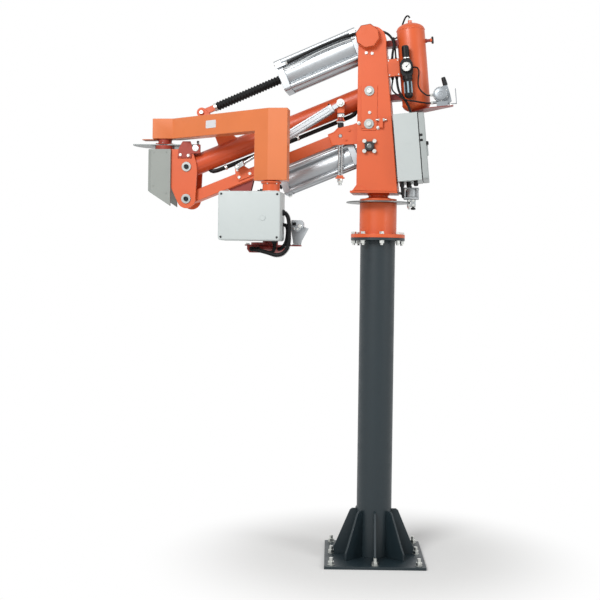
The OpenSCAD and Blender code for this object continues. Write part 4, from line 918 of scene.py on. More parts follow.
def tray(name, size, corner, rings, where, finish, body, crease=40, hoop=False):
    """Rounded rectangles (inset, depth) joined in order, in a frame's Y-Z plane along X."""
    shape = bmesh.new()
    wide, tall = size[0] / 2, size[1] / 2
    rows = []
    for inset, depth in rings:
        outline = oblong((inset - wide, wide - inset), (inset - tall, tall - inset),
                         max(0.0004, corner - inset))
        rows.append([shape.verts.new((depth, y, z)) for y, z in outline])
    for low, high in zip(rows, rows[1:] + rows[:1] if hoop else rows[1:]):
        for i in range(len(low)):
            k = (i + 1) % len(low)
            shape.faces.new((low[i], low[k], high[k], high[i]))
    if not hoop:
        shape.faces.new(rows[0])
        shape.faces.new(rows[-1])
    return piece(name, shape, where, finish, body, crease=crease)


door_in = CAB_OFF + CAB_DEEP + DOOR_GAP
door_out = door_in + DOOR_DEEP
# The door takes the darker grey, its painted shade
door = tray("cabinet_door_skin", (CAB_WIDE, CAB_TALL), 0.016,
            [(0.002, door_out - 0.002), (0.002, door_in), (0, door_in), (0, door_out - 0.005),
             (0.0004, door_out - 0.0025), (0.002, door_out - 0.0008), (0.005, door_out)],
            cab_frame, door_grey_painted_shade, "door")
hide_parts("cabinet_door")
tray("door_seal", (CAB_WIDE - 0.006, CAB_TALL - 0.006), 0.012,
     [(0.0, door_in + 0.004), (0.0, door_in - 0.0045), (0.009, door_in - 0.0045),
      (0.009, door_in + 0.004)], cab_frame, black_rubber, "door", hoop=True)
for z in (0.050 - CAB_TALL / 2, CAB_TALL / 2 - 0.090):
    turned("door_hinge_" + ("low" if z < 0 else "high"),
           [(0, 0), (0.0062, 0), (0.0062, 0.0185), (0.003, 0.0195), (0.003, 0.0205),
            (0.0062, 0.0215), (0.0062, 0.062), (0, 0.062)], 20, cab_frame,
           (door_in - 0.0025, CAB_WIDE / 2 + 0.007, z), (0, 0, 1), zinc_plate, "door")
tray("latch_body", (0.030, 0.020), 0.004,
     [(0, 0), (0, 0.009), (0.0015, 0.012), (0.004, 0.0135)],
     cab_frame @ Matrix.Translation((door_out, -0.126, 0.013)), black_plastic, "door")
tray("latch_lever", (0.016, 0.058), 0.006,
     [(0, 0.001), (0, 0.005), (0.0015, 0.008), (0.005, 0.009)],
     cab_frame @ Matrix.Translation((door_out, -0.124, -0.027)), grey_enamel, "door")
door_edge = framed(cab_frame @ Vector((0, -CAB_WIDE / 2, 0)),
                   cab_frame.to_3x3() @ Vector((0, -1, 0)), cab_frame.to_3x3() @ UP)
for i, z in enumerate((0.058, 0.030)):
    tray("door_catch_%d" % i, (0.018, 0.012), 0.003, [(0, -0.002), (0, 0.0025), (0.001, 0.0035)],
         door_edge @ Matrix.Translation((0, door_in + 0.006, z)), black_plastic, "door")
GLAND = [(0, 0), (0.012, 0), (0.012, 0.006), (0.0105, 0.007), (0.0105, 0.013), (0.013, 0.014),
         (0.013, 0.024), (0.010, 0.030), (0.006, 0.031), (0, 0.030)]
for i, (x, y) in enumerate(((0.030, -0.110), (0.106, -0.110), (0.065, -0.060), (0.065, 0.020),
                            (0.065, 0.090))):
    turned("cable_gland_%d" % i, GLAND, 12, cab_frame, (x, y, -CAB_TALL / 2 + 0.0005), (0, 0, -1),
           black_plastic, "tower")
CONE = [(0, 0), (0.009, 0), (0.0085, 0.030), (0.006, 0.060), (0, 0.062)]
turned("gland_sleeve", CONE, 16, cab_frame, (0.030, -0.110, -CAB_TALL / 2 - 0.028), (0, 0, -1),
       black_rubber, "tower")

# ---------------------------------------------------------------- Arm
# A drawn steel tube with turned bushes at both ends, the welded bracket that the upper
# air cylinder pulls on, and a ribbed black conduit clipped under it.

# Arm enamel: the tower's orange painted deeper and redder, as painted shade on the arm tube
arm_orange_painted_shade = enamel("arm_orange_painted_shade", "#CF5227", rough=0.40, clear=0.08, drift=0.05)
head_p = pivot("head_level")
ARM_LENGTH = (head_p - arm_p).length
bar_way = ARM_TURN @ (head_p - arm_p).normalized()
arm_bar = framed(Vector(JOINT["arm_lift"]["pos_m"]), bar_way, UP)
tie_frame = framed(Vector(JOINT["tie_turn"]["pos_m"]), bar_way, UP)
# The arm tube takes the deeper orange, its painted shade
dress("arm_tube", arm_orange_painted_shade, edge=0.001)
dress("arm_bracket", orange_enamel, edge=0.0012)
dress("arm_conduit", black_rubber, edge=0.0008)
dress("arm_side_pin", zinc_plate, edge=0.001)
PIN_BACK, PIN_RISE, ARM_RADIUS = 0.182, 0.262, 0.05715
pin_s = ARM_LENGTH - PIN_BACK
foot_seams = []
for side in (-1, 1):
    for y in (0.0145, 0.0235):
        z = math.sqrt(ARM_RADIUS ** 2 - y ** 2)
        foot_seams.append([arm_bar @ Vector((x, side * y, z))
                           for x in (pin_s - 0.136, pin_s - 0.022)])
BUSH_WELD = 0.056
for x in (0.040, ARM_LENGTH - 0.046):
    foot_seams.append([arm_bar @ Vector((x, y, z)) for z, y in around(BUSH_WELD, 36, closed=True)])
welded("arm_welds", foot_seams, orange_enamel, "arm")
# In the frames of the arm and of the tie bar, Y points to the near side
CLEVIS_FACE = 0.031
ROD_PIN = [(0, 0), (0.012, 0), (0.012, 0.003), (0.0095, 0.0045), (0.005, 0.0045),
           (0.004, 0.002), (0, 0.002)]
for side in (-1, 1):
    turned("upper_rod_pin_" + SIDE_NAME[-side], ROD_PIN, 24, arm_bar,
           (pin_s, side * CLEVIS_FACE, PIN_RISE), (0, side, 0), zinc_plate, "arm")
fasten("side_pin_screw", socket_pattern, spots(arm_bar, [(0.170, 0.118, 0)], (0, 1, 0)),
       zinc_plate, "arm", CAP_SCREW)
CLIP = [(0, 0), (0.0148, 0), (0.0148, 0.012), (0, 0.012)]
for i, s in enumerate((0.22, 0.46, 0.70, 0.90)):
    turned("conduit_clip_%d" % i, CLIP, 24, arm_bar, (s, 0.002, -0.0755), (1, 0, 0), zinc_plate,
           "arm")

# ---------------------------------------------------------------- Tie bar
# A welded square tube with fork plates at the tower, its red bracket for the lower air
# cylinder's rod, and a bolted orange plate for the locking cylinder's rod.
dress("tie_bar", orange_enamel, edge=0.0025)
dress("tie_bracket", red_enamel, edge=0.0012)
dress("lock_plate", orange_enamel, edge=0.0015)
LOW_PIN_BACK, LOW_PIN_DROP, TIE_FACE, TIE_HALF = 0.295, 0.118, 0.042, 0.031
low_s = ARM_LENGTH - LOW_PIN_BACK
FORK_FACE = 0.099
tie_seams = []
for side in (-1, 1):
    for y in (0.0145, 0.0235):
        tie_seams.append([tie_frame @ Vector((x, side * y, -TIE_HALF))
                          for x in (low_s - 0.092, low_s + 0.056)])
    tie_seams.append([tie_frame @ Vector((x, side * FORK_FACE, z)) for x, z in
                      ((0.165, 0.045), (0.196, 0.031), (0.230, 0.031), (0.230, -0.031))])
welded("tie_welds", tie_seams, orange_enamel, "tie")
for side in (-1, 1):
    turned("lower_rod_pin_" + SIDE_NAME[-side], ROD_PIN, 24, tie_frame,
           (low_s, side * CLEVIS_FACE, -LOW_PIN_DROP), (0, side, 0), zinc_plate, "tie")
LOCK_BACK, LOCK_RISE = 0.339, 0.054
lock_s = ARM_LENGTH - LOCK_BACK
fasten("lock_plate_screws", socket_pattern,
       spots(tie_frame, [(lock_s + 0.018, TIE_FACE + 0.008, 0.004),
                         (lock_s - 0.046, TIE_FACE + 0.008, 0.001),
                         (lock_s + 0.012, TIE_FACE + 0.008, 0.046)], (0, 1, 0)),
       zinc_plate, "tie", SMALL_SCREW)
fasten("fork_screws", socket_pattern,
       spots(tie_frame, [(0.112, FORK_FACE, 0.012), (0.150, FORK_FACE, -0.030)], (0, 1, 0)),
       orange_enamel, "tie", SMALL_SCREW)

# ---------------------------------------------------------------- Steady link
# The link that holds the head's parallelogram to the tower: an eye, a red clamping cone
# with white-plated nuts, a black stop collar and two polished guide rods to a red foot.

# Polished steel: the brightest metal here, with fine marks along the rods
polished_steel = metal("polished_steel", "#B8BBBB", rough=0.22, grain=(1, 1, 0.2), scale=90.0)
dress("steady_link", orange_enamel, edge=0.001)
dress("link_rods", polished_steel, edge=0.0008)
link_p = pivot("link_level")
link_frame = framed(stand(link_p.x, -0.084, link_p.z), BEHIND, UP)
turned("link_cone",
       [(0, 0), (0.014, 0), (0.0165, 0.003), (0.0165, 0.006), (0.011, 0.022), (0, 0.022)], 32,
       link_frame, (0, 0, -0.098), (0, 0, 1), red_enamel, "link")
COLLAR = [(0, 0), (0.0125, 0), (0.0165, 0.003), (0.0165, 0.026), (0.0125, 0.030), (0, 0.030)]
turned("link_collar", COLLAR, 32, link_frame, (0, 0, -0.136), (0, 0, 1), black_plastic, "link")
LINK_NUT = screw((0.014, 0.010), (0.016, 0.002), (0.007, 0.008))
fasten("link_nuts", hex_pattern,
       spots(link_frame, [(0, 0, -0.076)], (0, 0, 1))
       + spots(link_frame, [(0, 0, -0.414)], (0, 0, -1)), zinc_plate, "link", LINK_NUT)
FOOT_NUT = screw((0.011, 0.010), (0.0125, 0.002), (0.007, 0.008))
fasten("link_foot_nut", hex_pattern, spots(link_frame, [(0, 0, -0.428)], (0, 0, -1)),
       zinc_plate, "link", FOOT_NUT)
turned("link_eye_washer", [(0, 0), (0.0175, 0), (0.0175, 0.0025), (0.012, 0.003), (0, 0.003)], 32,
       link_frame, (0, -0.0065, 0), (0, -1, 0), zinc_plate, "link")

# ---------------------------------------------------------------- Air cylinders
# Profile-barrel cylinders of anodised aluminium: square covers held by a socket screw in
# each corner, plated port fittings, ground piston rods and moulded rubber bellows.
dress("upper_cylinder", anodised, edge=0.0015)
dress("lower_cylinder", anodised, edge=0.0015)
dress("upper_rod", zinc_plate, edge=0.001)
dress("lower_rod", zinc_plate, edge=0.001)
BARREL, UPPER_SIDE, LOWER_SIDE = 0.535, 0.180, 0.138
COVER_SCREW = screw((0.0075, 0.003), (0.0078, 0.0003), (0.0045, 0.0028))
upper_frame = framed(Vector(JOINT["upper_barrel_turn"]["pos_m"]),
                     JOINT["upper_rod_slide"]["axis"], UP)
lower_frame = framed(Vector(JOINT["lower_barrel_turn"]["pos_m"]),
                     JOINT["lower_rod_slide"]["axis"], UP)
upper_pin = arm_bar @ Vector((pin_s, 0, PIN_RISE))
lower_pin = tie_frame @ Vector((low_s, 0, -LOW_PIN_DROP))
upper_reach = (upper_pin - upper_frame.translation).length
lower_reach = (lower_pin - lower_frame.translation).length
for name, where, side, rear in (("upper", upper_frame, UPPER_SIDE, 0.050),
                                ("lower", lower_frame, LOWER_SIDE, 0.080)):
    off = side / 2 - side * 0.09 - 0.001
    corners = [(y, z) for y in (-off, off) for z in (-off, off)]
    fasten(name + "_cover_screws", socket_pattern,
           spots(where, [(BARREL, y, z) for y, z in corners], (1, 0, 0))
           + spots(where, [(rear, y, z) for y, z in corners], (-1, 0, 0)),
           zinc_plate, name + "_barrel", COVER_SCREW)
    turned(name + "_gland",
           [(0.0165, 0), (side * 0.2, 0), (side * 0.2, 0.004), (side * 0.17, 0.0062),
            (0.0165, 0.0062), (0.0165, 0)], 48, where, (BARREL, 0, 0), (1, 0, 0), anodised,
           name + "_barrel")
PLUG = [(0, 0), (0.0105, 0), (0.0105, 0.005), (0.009, 0.006), (0, 0.006)]
for i, x in enumerate((BARREL - 0.020, 0.070)):
    turned("upper_port_plug_%d" % i, PLUG, 6, upper_frame, (x, 0, UPPER_SIDE / 2 + 0.0085),
           (0, 0, 1), zinc_plate, "upper_barrel")
for i, x in enumerate((BARREL - 0.0185, 0.0985)):
    turned("lower_port_plug_%d" % i, PLUG, 6, lower_frame, (x, 0, -LOWER_SIDE / 2 - 0.0085),
           (0, 0, -1), zinc_plate, "lower_barrel")


def tube(name, points, radius, finish, body):
    """A thin pipe or hose of round section along a smooth line through points."""
    data = bpy.data.curves.new(name, "CURVE")
    data.dimensions = "3D"
    data.bevel_depth = radius
    data.bevel_resolution = 3
    data.use_fill_caps = True
    line = data.splines.new("NURBS")
    line.points.add(len(points) - 1)
    for point, place in zip(line.points, points):
        point.co = (place[0], place[1], place[2], 1)
    line.order_u = 4
    line.use_endpoint_u = True
    line.resolution_u = 6
    drawn = linked(name + "_path", data)
    mesh = bpy.data.meshes.new_from_object(
        drawn.evaluated_get(bpy.context.evaluated_depsgraph_get()))
    bpy.data.objects.remove(drawn)
    return finished(linked(name, mesh), finish, body)


hose("upper_hose", black_rubber)
# Polyurethane tube: milky and pale, a thin light line over the barrel
clear_tube = moulded("polyurethane_tube", "#DDE2E2", 0.3, drift=0.05, scale=60.0, bumpy=0.02)
hose_y = UPPER_SIDE / 2 + 0.0085
turned("upper_hose_fitting", FITTING, 6, upper_frame, (BARREL - 0.0615, hose_y, 0.0495),
       (-1, 0, 0), zinc_plate, "upper_barrel")
AIR_LINE = [(BARREL - 0.036, 0.090, 0.027), (BARREL - 0.036, 0.099, 0.027),
            (BARREL - 0.046, 0.103, 0.025), (0.440, 0.101, 0.024), (0.396, 0.098, 0.026),
            (0.330, 0.096, 0.036), (0.240, 0.096, 0.038), (0.146, 0.096, 0.036),
            (0.094, 0.097, 0.031), (0.072, 0.096, 0.028), (0.072, 0.089, 0.028)]
tube("thin_air_line", [upper_frame @ Vector(p) for p in AIR_LINE], 0.003, clear_tube,
     "upper_barrel")


def bellows(node, where, low, high, inner, outer, folds):
    """Moulded bellows between a cylinder's gland and its rod's collar, in soft folds."""
    step = (high - low) / folds
    profile = [(inner - 0.003, low)]
    for i in range(folds):
        for share, swell in ((0.0, 0.0), (0.12, 0.12), (0.38, 0.85), (0.5, 1.0), (0.62, 0.85),
                             (0.88, 0.12)):
            profile.append((inner + (outer - inner) * swell, low + (i + share) * step))
    profile += [(inner, high), (inner - 0.003, high), (inner - 0.003, low)]
    made = turned(node + "_skin", profile, 32, where, (0, 0, 0), (1, 0, 0), black_rubber, None,
                  crease=60)
    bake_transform(made)
    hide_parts(node)


bellows("upper_bellows", upper_frame, BARREL + 0.007, upper_reach - 0.093, 0.0205, 0.026, 22)
bellows("lower_bellows", lower_frame, BARREL + 0.007, lower_reach - 0.085, 0.0185, 0.024, 9)


def rod_eye(name, where, reach, back, half, eye, thick, finish, body):
    """A painted fork end: a block that widens into an eye round the pin."""
    outline = [(reach - back, half), (reach - back, -half), (reach - eye, -half)]
    outline += [(reach + eye * math.cos(a), eye * math.sin(a))
                for a in [math.radians(-135 + 15 * i) for i in range(19)]]
    outline.append((reach - eye, half))
    return plates(name, [outline], -thick, thick, where, finish, body, edge=0.0015)


rod_eye("upper_rod_fork", upper_frame, upper_reach, 0.075, 0.0165, 0.0225, 0.0105,
        orange_enamel, "upper_piston")
rod_eye("lower_rod_fork", lower_frame, lower_reach, 0.069, 0.0145, 0.0215, 0.0105,
        zinc_plate, "lower_piston")
NUT_RING = [(0, 0), (0.0225, 0), (0.0235, 0.0015), (0.0235, 0.0085), (0.0225, 0.010), (0, 0.010)]
turned("upper_rod_nut", NUT_RING, 6, upper_frame, (upper_reach - 0.0865, 0, 0), (1, 0, 0),
       black_iron, "upper_piston")

# ---------------------------------------------------------------- Locking cylinder
# A slim square-profile cylinder with sensor grooves between the arm's side pin and the tie
# bar, its polished rod and plated clevis.
dress("lock_cylinder", anodised, edge=0.0008)
dress("lock_rod", polished_steel, edge=0.0008)
lock_frame = framed(Vector(JOINT["lock_barrel_turn"]["pos_m"]),
                    JOINT["lock_rod_slide"]["axis"], UP)
lock_pin = tie_frame @ Vector((lock_s, 0, LOCK_RISE))
lock_reach = (lock_pin - lock_frame.translation).length
lock_end = lock_reach - 0.190
LOCK_Y, LOCK_SCREW = 0.096, 0.0165
lock_corners = [(LOCK_Y + y, z) for y in (-LOCK_SCREW, LOCK_SCREW)
                for z in (-LOCK_SCREW, LOCK_SCREW)]
TINY_SCREW = screw((0.0038, 0.002), (0.004, 0.0003), (0.0022, 0.0018))
fasten("lock_cover_screws", socket_pattern,
       spots(lock_frame, [(lock_end, y, z) for y, z in lock_corners], (1, 0, 0)),
       zinc_plate, "lock_barrel", TINY_SCREW)
for i, x in enumerate((0.061, lock_end - 0.011)):
    turned("lock_port_%d" % i,
           [(0, 0), (0.0075, 0), (0.0075, 0.004), (0.005, 0.005), (0.005, 0.011), (0, 0.011)], 6,
           lock_frame, (x, LOCK_Y, 0.0225), (0, 0, 1), black_plastic, "lock_barrel")
turned("lock_rod_nut", [(0, 0), (0.0135, 0), (0.0135, 0.007), (0, 0.007)], 6, lock_frame,
       (lock_reach - 0.0475, LOCK_Y, 0), (1, 0, 0), zinc_plate, "lock_piston")
turned("lock_pin_head", [(0, 0), (0.0105, 0), (0.0105, 0.003), (0.008, 0.0045), (0, 0.0045)], 24,
       lock_frame, (lock_reach, 0.105, 0), (0, 1, 0), zinc_plate, "lock_piston")

# ---------------------------------------------------------------- Head
# Two profiled side plates on the arm's and the tie bar's front pins, welded to a cross
# plate behind a folded grey sheet cover, with a red bracket bolted on the near plate.

# Bracket red: a shade brighter than the tank cradles, and a little less shiny
bracket_red = enamel("bracket_red", "#A03520", rough=0.45, clear=0.03, drift=0.07)
# Cover enamel: a dull mid grey that shows the folds by shade alone
cover_enamel = enamel("cover_enamel", "#969B96", rough=0.45, clear=0.03, drift=0.03)
dress("head_plates", orange_enamel, edge=0.0018)
dress("head_pins", galvanised, edge=0.0012)
# Black oxide: dark metal screws with a dim gleam
black_oxide = metal("black_oxide_steel", "#2B2E30", rough=0.4, scale=80.0)
dress("head_cover", cover_enamel, edge=0.0008)
dress("head_top_plate", bracket_red, edge=0.0015)
HEAD_FACE = 0.072
head_frame = framed(stand(head_p.x, 0, head_p.z), BEHIND, UP)
pin_gap = arm_p.z - tie_p.z
for side in (-1, 1):
    head_screws = [(0, side * (HEAD_FACE + PIN_WASHER), -drop) for drop in (0, pin_gap)]
    fasten("head_pin_screws_" + SIDE_NAME[side], socket_pattern,
           spots(head_frame, head_screws, (0, side, 0)), black_oxide, "head", CAP_SCREW)
BRACKET_FACE = -HEAD_FACE - 0.007
fasten("head_bracket_screws", socket_pattern,
       spots(head_frame, [(-0.034, BRACKET_FACE, 0.066), (0.0115, BRACKET_FACE, 0.062)],
             (0, -1, 0)), zinc_plate, "head", SMALL_SCREW)
turned("head_stop_washer",
       [(0, 0), (0.0175, 0), (0.0175, 0.003), (0.007, 0.0035), (0.006, 0.001), (0, 0.001)], 32,
       head_frame, (0.052, BRACKET_FACE, 0.103), (0, -1, 0), zinc_plate, "head")
turned("head_stop_pin", [(0, 0), (0.007, 0), (0.007, 0.018), (0.0055, 0.021), (0, 0.0215)], 24,
       head_frame, (0.064, -0.071, 0.1235), (0, 0, 1), ground_steel, "head")
COVER_NEAR = -0.088
cover_screws = [(x, COVER_NEAR, z) for x, z in ((-0.112, 0.080), (-0.112, -0.150),
                                               (-0.185, 0.080), (-0.185, -0.110))]
fasten("cover_screws", socket_pattern, spots(head_frame, cover_screws, (0, -1, 0)),
       cover_enamel, "head", TINY_SCREW)

# ---------------------------------------------------------------- Elbow
# A red bearing housing bolted behind the cover carries the forearm's shaft; a ground steel
# brake disc, cut straight along its near side, lies on top of it.
dress("elbow_housing", bracket_red, edge=0.0012)
dress("elbow_shaft", bracket_red, edge=0.0012)
dress("elbow_disc", ground_steel, edge=0.0006)
elbow_p = ARM_TURN.inverted() @ Vector(JOINT["elbow"]["pos_m"])
disc_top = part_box("elbow_disc")[1][2]
clamp_ring = [(0.0445, 0), (0.0545, 0), (0.0545, 0.004), (0.052, 0.006), (0.0445, 0.006),
              (0.0445, 0)]
turned("elbow_clamp_ring", clamp_ring, 48, ARM_FRAME, (elbow_p.x, elbow_p.y, disc_top), (0, 0, 1),
       bracket_red, "head")
CLAMP_CIRCLE = 0.0495
clamp_spots = [(stand(elbow_p.x + x, elbow_p.y + y, disc_top + 0.006), UP)
               for x, y in around(CLAMP_CIRCLE, 6, 30)]
fasten("elbow_clamp_screws", socket_pattern, clamp_spots, zinc_plate, "head", TINY_SCREW)

# ---------------------------------------------------------------- Forearm
# A cranked box-section beam with an upright post at its end, welded from plate and sprayed
# orange, shown lighter as painted light; a bare riveted plate sits on its near side.

# Forearm enamel: the tower's orange painted lighter and yellower, as painted light on faces turned
# to the lamp
forearm_orange_painted_light = enamel("forearm_orange_painted_light", "#DB773F", rough=0.40, clear=0.08, drift=0.05)
# The beam takes the lighter orange, its painted light
dress("forearm_beam", forearm_orange_painted_light, edge=0.003)
# Bare printed plate: light and faintly streaked, with nothing on it
blank_plate = moulded("bare_printed_plate", "#DCDCDE", 0.4, grain=(1, 1, 8), scale=50.0,
                      bumpy=0.05)
BEAM_ALONG, BEAM_ASIDE = 0.610, 0.406
BEND = math.atan2(BEAM_ASIDE, BEAM_ALONG)
BEAM_HALF, BEAM_STRAIGHT, BEAM_TALL = 0.045, 0.068, 0.113
beam_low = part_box("forearm_beam")[1][2] - BEAM_TALL
near_x = elbow_p.x + BEAM_STRAIGHT - BEAM_HALF * math.sin(BEND)
near_y = elbow_p.y - BEAM_HALF * math.cos(BEND)
beam_face = framed(stand(near_x, near_y, beam_low),
                   ARM_TURN @ Vector((math.cos(BEND), -math.sin(BEND), 0)), UP)
plates("forearm_blank_plate", [oblong((0.282, 0.360), (0.038, 0.080), 0.004)], -0.0014, 0.0004,
       beam_face, blank_plate, "forearm", edge=0.0003)
RIVET = [(0, 0), (0.0028, 0), (0.0024, 0.0012), (0.0012, 0.0018), (0, 0.0018)]
for i, x in enumerate((0.288, 0.354)):
    turned("forearm_rivet_%d" % i, RIVET, 16, beam_face, (x, -0.0012, 0.059), (0, -1, 0),
           zinc_plate, "forearm")
SHAFT_RADIUS = 0.040
shaft_seam = [stand(elbow_p.x + x, elbow_p.y + y, beam_low - 0.001)
              for x, y in around(SHAFT_RADIUS, 36, closed=True)]
welded("forearm_welds", [shaft_seam], bracket_red, "forearm", radius=0.003)
SHAFT_CAP = [(0, 0), (0.030, 0), (0.030, 0.004), (0.026, 0.007), (0, 0.008)]
# The shaft cap takes the same lighter orange, painted light
turned("elbow_shaft_cap", SHAFT_CAP, 40, ARM_FRAME,
       (elbow_p.x, elbow_p.y, beam_low + BEAM_TALL - 0.008), (0, 0, 1), forearm_orange_painted_light, "forearm")

# ---------------------------------------------------------------- Wrist
# An orange swivel hanging from the post on its flange, with six screws up into the post
# and a clamp bar behind the control box.
dress("wrist_swivel", orange_enamel, edge=0.0015)
wrist_p = ARM_TURN.inverted() @ Vector(JOINT["wrist"]["pos_m"])
WRIST_RADIUS, WRIST_CIRCLE = 0.045, 0.049
wrist_frame = framed(stand(wrist_p.x, wrist_p.y, wrist_p.z), BEHIND, UP)
WRIST_SCREW = screw((0.0032, 0.004), (0.0034, 0.0003), (0.0022, 0.0018))
fasten("wrist_screws", hex_pattern,
       spots(wrist_frame, [(x, y, -0.009) for x, y in around(WRIST_CIRCLE, 6, 15)], (0, 0, -1)),
       zinc_plate, "wrist", WRIST_SCREW)
turned("wrist_band", [(0.0445, 0), (0.0465, 0.0008), (0.0465, 0.0092), (0.0445, 0.010)], 64,
       wrist_frame, (0, 0, -0.058), (0, 0, 1), zinc_plate, "wrist")

# ---------------------------------------------------------------- Control box
# A moulded light grey polycarbonate box with a deep screwed lid, a dark seal between them,
# recessed corner screws and a round blanking plug on the lid.

# Moulded polycarbonate: an even light grey with a fine skin and no clear coat
moulded_grey = enamel("moulded_polycarbonate", "#C3CAC9", rough=0.42, clear=0.0, drift=0.02,
                      peel=0.12, grime=0.08)
BOX_WIDE, BOX_HIGH, BOX_BODY, BOX_LID = 0.318, 0.249, 0.100, 0.050
BOX_LEFT, BOX_TOP = -0.237, -0.062
box_mid_x = BOX_LEFT + BOX_WIDE / 2
box_mid_z = BOX_TOP - BOX_HIGH / 2
box_out = wrist_frame.to_3x3() @ Vector((0, -1, 0))
box_place = framed(wrist_frame @ Vector((box_mid_x, -WRIST_RADIUS - 0.008, box_mid_z)), box_out,
                   UP)
body_shell = tray("control_box_skin", (BOX_WIDE, BOX_HIGH), 0.012,
                  [(0.002, 0), (0.0006, 0.0006), (0, 0.002), (0, BOX_BODY - 0.0020),
                   (0.0006, BOX_BODY - 0.0012)], box_place, moulded_grey, "wrist")
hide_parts("control_box")
tray("control_box_seal", (BOX_WIDE - 0.003, BOX_HIGH - 0.003), 0.011,
     [(0, BOX_BODY - 0.002), (0, BOX_BODY + 0.002)], box_place, black_rubber, "wrist")
lid_shell = tray("control_box_lid_skin", (BOX_WIDE, BOX_HIGH), 0.014,
                 [(0.0006, BOX_BODY + 0.0012), (0, BOX_BODY + 0.002),
                  (0, BOX_BODY + BOX_LID - 0.008), (0.0008, BOX_BODY + BOX_LID - 0.0045),
                  (0.0025, BOX_BODY + BOX_LID - 0.002), (0.005, BOX_BODY + BOX_LID - 0.0006),
                  (0.008, BOX_BODY + BOX_LID)], box_place, moulded_grey, "wrist")
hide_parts("control_box_lid")
lid_face = BOX_BODY + BOX_LID
lid_screws = [(lid_face, y, z) for y in (0.016 - BOX_WIDE / 2, BOX_WIDE / 2 - 0.016)
              for z in (0.016 - BOX_HIGH / 2, BOX_HIGH / 2 - 0.016)]
WELL = [(0.0065, -0.0005), (0.0098, -0.0005), (0.0098, 0.0004), (0.0088, 0.0007),
        (0.0070, 0.0003), (0.0065, 0.0003), (0.0065, -0.0005)]
for i, place in enumerate(lid_screws):
    turned("lid_screw_well_%d" % i, WELL, 32, box_place, place, (1, 0, 0), moulded_grey, "wrist")
LID_SCREW_BIG = screw((0.0058, 0.0005), (0.006, 0.0002), (0.0030, 0.0011))
fasten("control_lid_screws", socket_pattern, spots(box_place, lid_screws, (1, 0, 0)),
       black_iron, "wrist", LID_SCREW_BIG)
turned("blanking_plug",
       [(0, 0), (0.0145, 0), (0.0150, 0.0006), (0.0150, 0.0028), (0.0142, 0.0036),
        (0.0105, 0.0036), (0.0098, 0.0028), (0, 0.0028)], 40, box_place,
       (lid_face - 0.0005, -0.008 - box_mid_x, -0.0095), (1, 0, 0), moulded_grey, "wrist")
for i, (x, z, way) in enumerate(((BOX_WIDE / 2, 0.0195, (0, 1, 0)),
                                 (0.113, -BOX_HIGH / 2, (0, 0, -1)))):
    depth = 0.065 if i == 0 else 0.033
    turned("box_gland_%d" % i,
           [(0, 0), (0.0165, 0), (0.0165, 0.004), (0.014, 0.006), (0.014, 0.011), (0.0115, 0.013),
            (0, 0.013)], 12, box_place, (depth, x, z), way, black_plastic, "wrist")

# ---------------------------------------------------------------- Tool plate
# The dark red flange that carries the gripper, with a tray of push-in fittings on its left,
# a long thin plate, and two corrugated hoses down from the control box.

# Tool red: a dark red with a little gloss on the flange
tool_red = enamel("tool_red", "#96281F", rough=0.42, clear=0.05, drift=0.08)
dress("tool_plate", tool_red, edge=0.0012)
TOOL_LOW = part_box("tool_plate")[0][2] - wrist_p.z
FLANGE_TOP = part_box("tool_valve")[0][2] - wrist_p.z
fasten("tool_plate_screws", hex_pattern,
       spots(wrist_frame, [(-0.120, -0.028, FLANGE_TOP), (-0.120, 0.028, FLANGE_TOP),
                           (0.100, -0.012, FLANGE_TOP), (0.100, 0.012, FLANGE_TOP)], (0, 0, 1)),
       zinc_plate, "wrist", JAW_NUT)
# White nylon: clean white rings that stand out among the black fittings
white_nylon = moulded("white_nylon", "#E6E7E3", 0.4, drift=0.04, scale=80.0, bumpy=0.03)
BARB_RING = [(0.008, 0), (0.0125, 0), (0.0130, 0.001), (0.0130, 0.006), (0.0122, 0.007),
             (0.008, 0.007), (0.008, 0)]
for i, x in enumerate((-0.084, -0.050)):
    barb = (x, -0.0465, TOOL_LOW + 0.018)
    turned("barb_nut_%d" % i, BARB_RING, 6, wrist_frame, barb, (0, -1, 0), white_nylon, "wrist")
    turned("barb_collar_%d" % i, [(r * 1.06, h + 0.007) for r, h in BARB_RING], 24, wrist_frame,
           barb, (0, -1, 0), black_plastic, "wrist")
for i, x in enumerate((-0.090, -0.078, -0.062, -0.046)):
    turned("tray_plug_%d" % i, [(0, 0), (0.0042, 0), (0.0042, 0.008), (0.003, 0.010), (0, 0.010)],
           12, wrist_frame, (x, -0.040, TOOL_LOW + 0.0055), (0, 0, 1),
           white_nylon if i % 2 else black_plastic, "wrist")


def hose_rib_tree():
    """Rings along a path, as on a corrugated hose."""
    tree, given = pattern_tree("hose_ribs", ("Hose Radius", "Rib Radius", "Rib Pitch"))
    path = add(tree, "GeometryNodeMeshToCurve", {"Mesh": given["Geometry"]})
    bent = add(tree, "GeometryNodeCurveSplineType", {"Curve": path.outputs[0]},
               spline_type="CATMULL_ROM")
    dots = add(tree, "GeometryNodeCurveToPoints", {"Curve": bent.outputs[0],
               "Length": given["Rib Pitch"]}, mode="LENGTH")
    hoop = add(tree, "GeometryNodeCurvePrimitiveCircle", {"Resolution": 20,
               "Radius": given["Hose Radius"]})
    wire = add(tree, "GeometryNodeCurvePrimitiveCircle", {"Resolution": 6,
               "Radius": given["Rib Radius"]})
    ring = add(tree, "GeometryNodeCurveToMesh", {"Curve": hoop.outputs[0],
               "Profile Curve": wire.outputs[0]})
    put = add(tree, "GeometryNodeInstanceOnPoints", {"Points": dots.outputs["Points"],
              "Instance": ring.outputs[0], "Rotation": dots.outputs["Rotation"]})
    return closed_tree(tree, given, put)


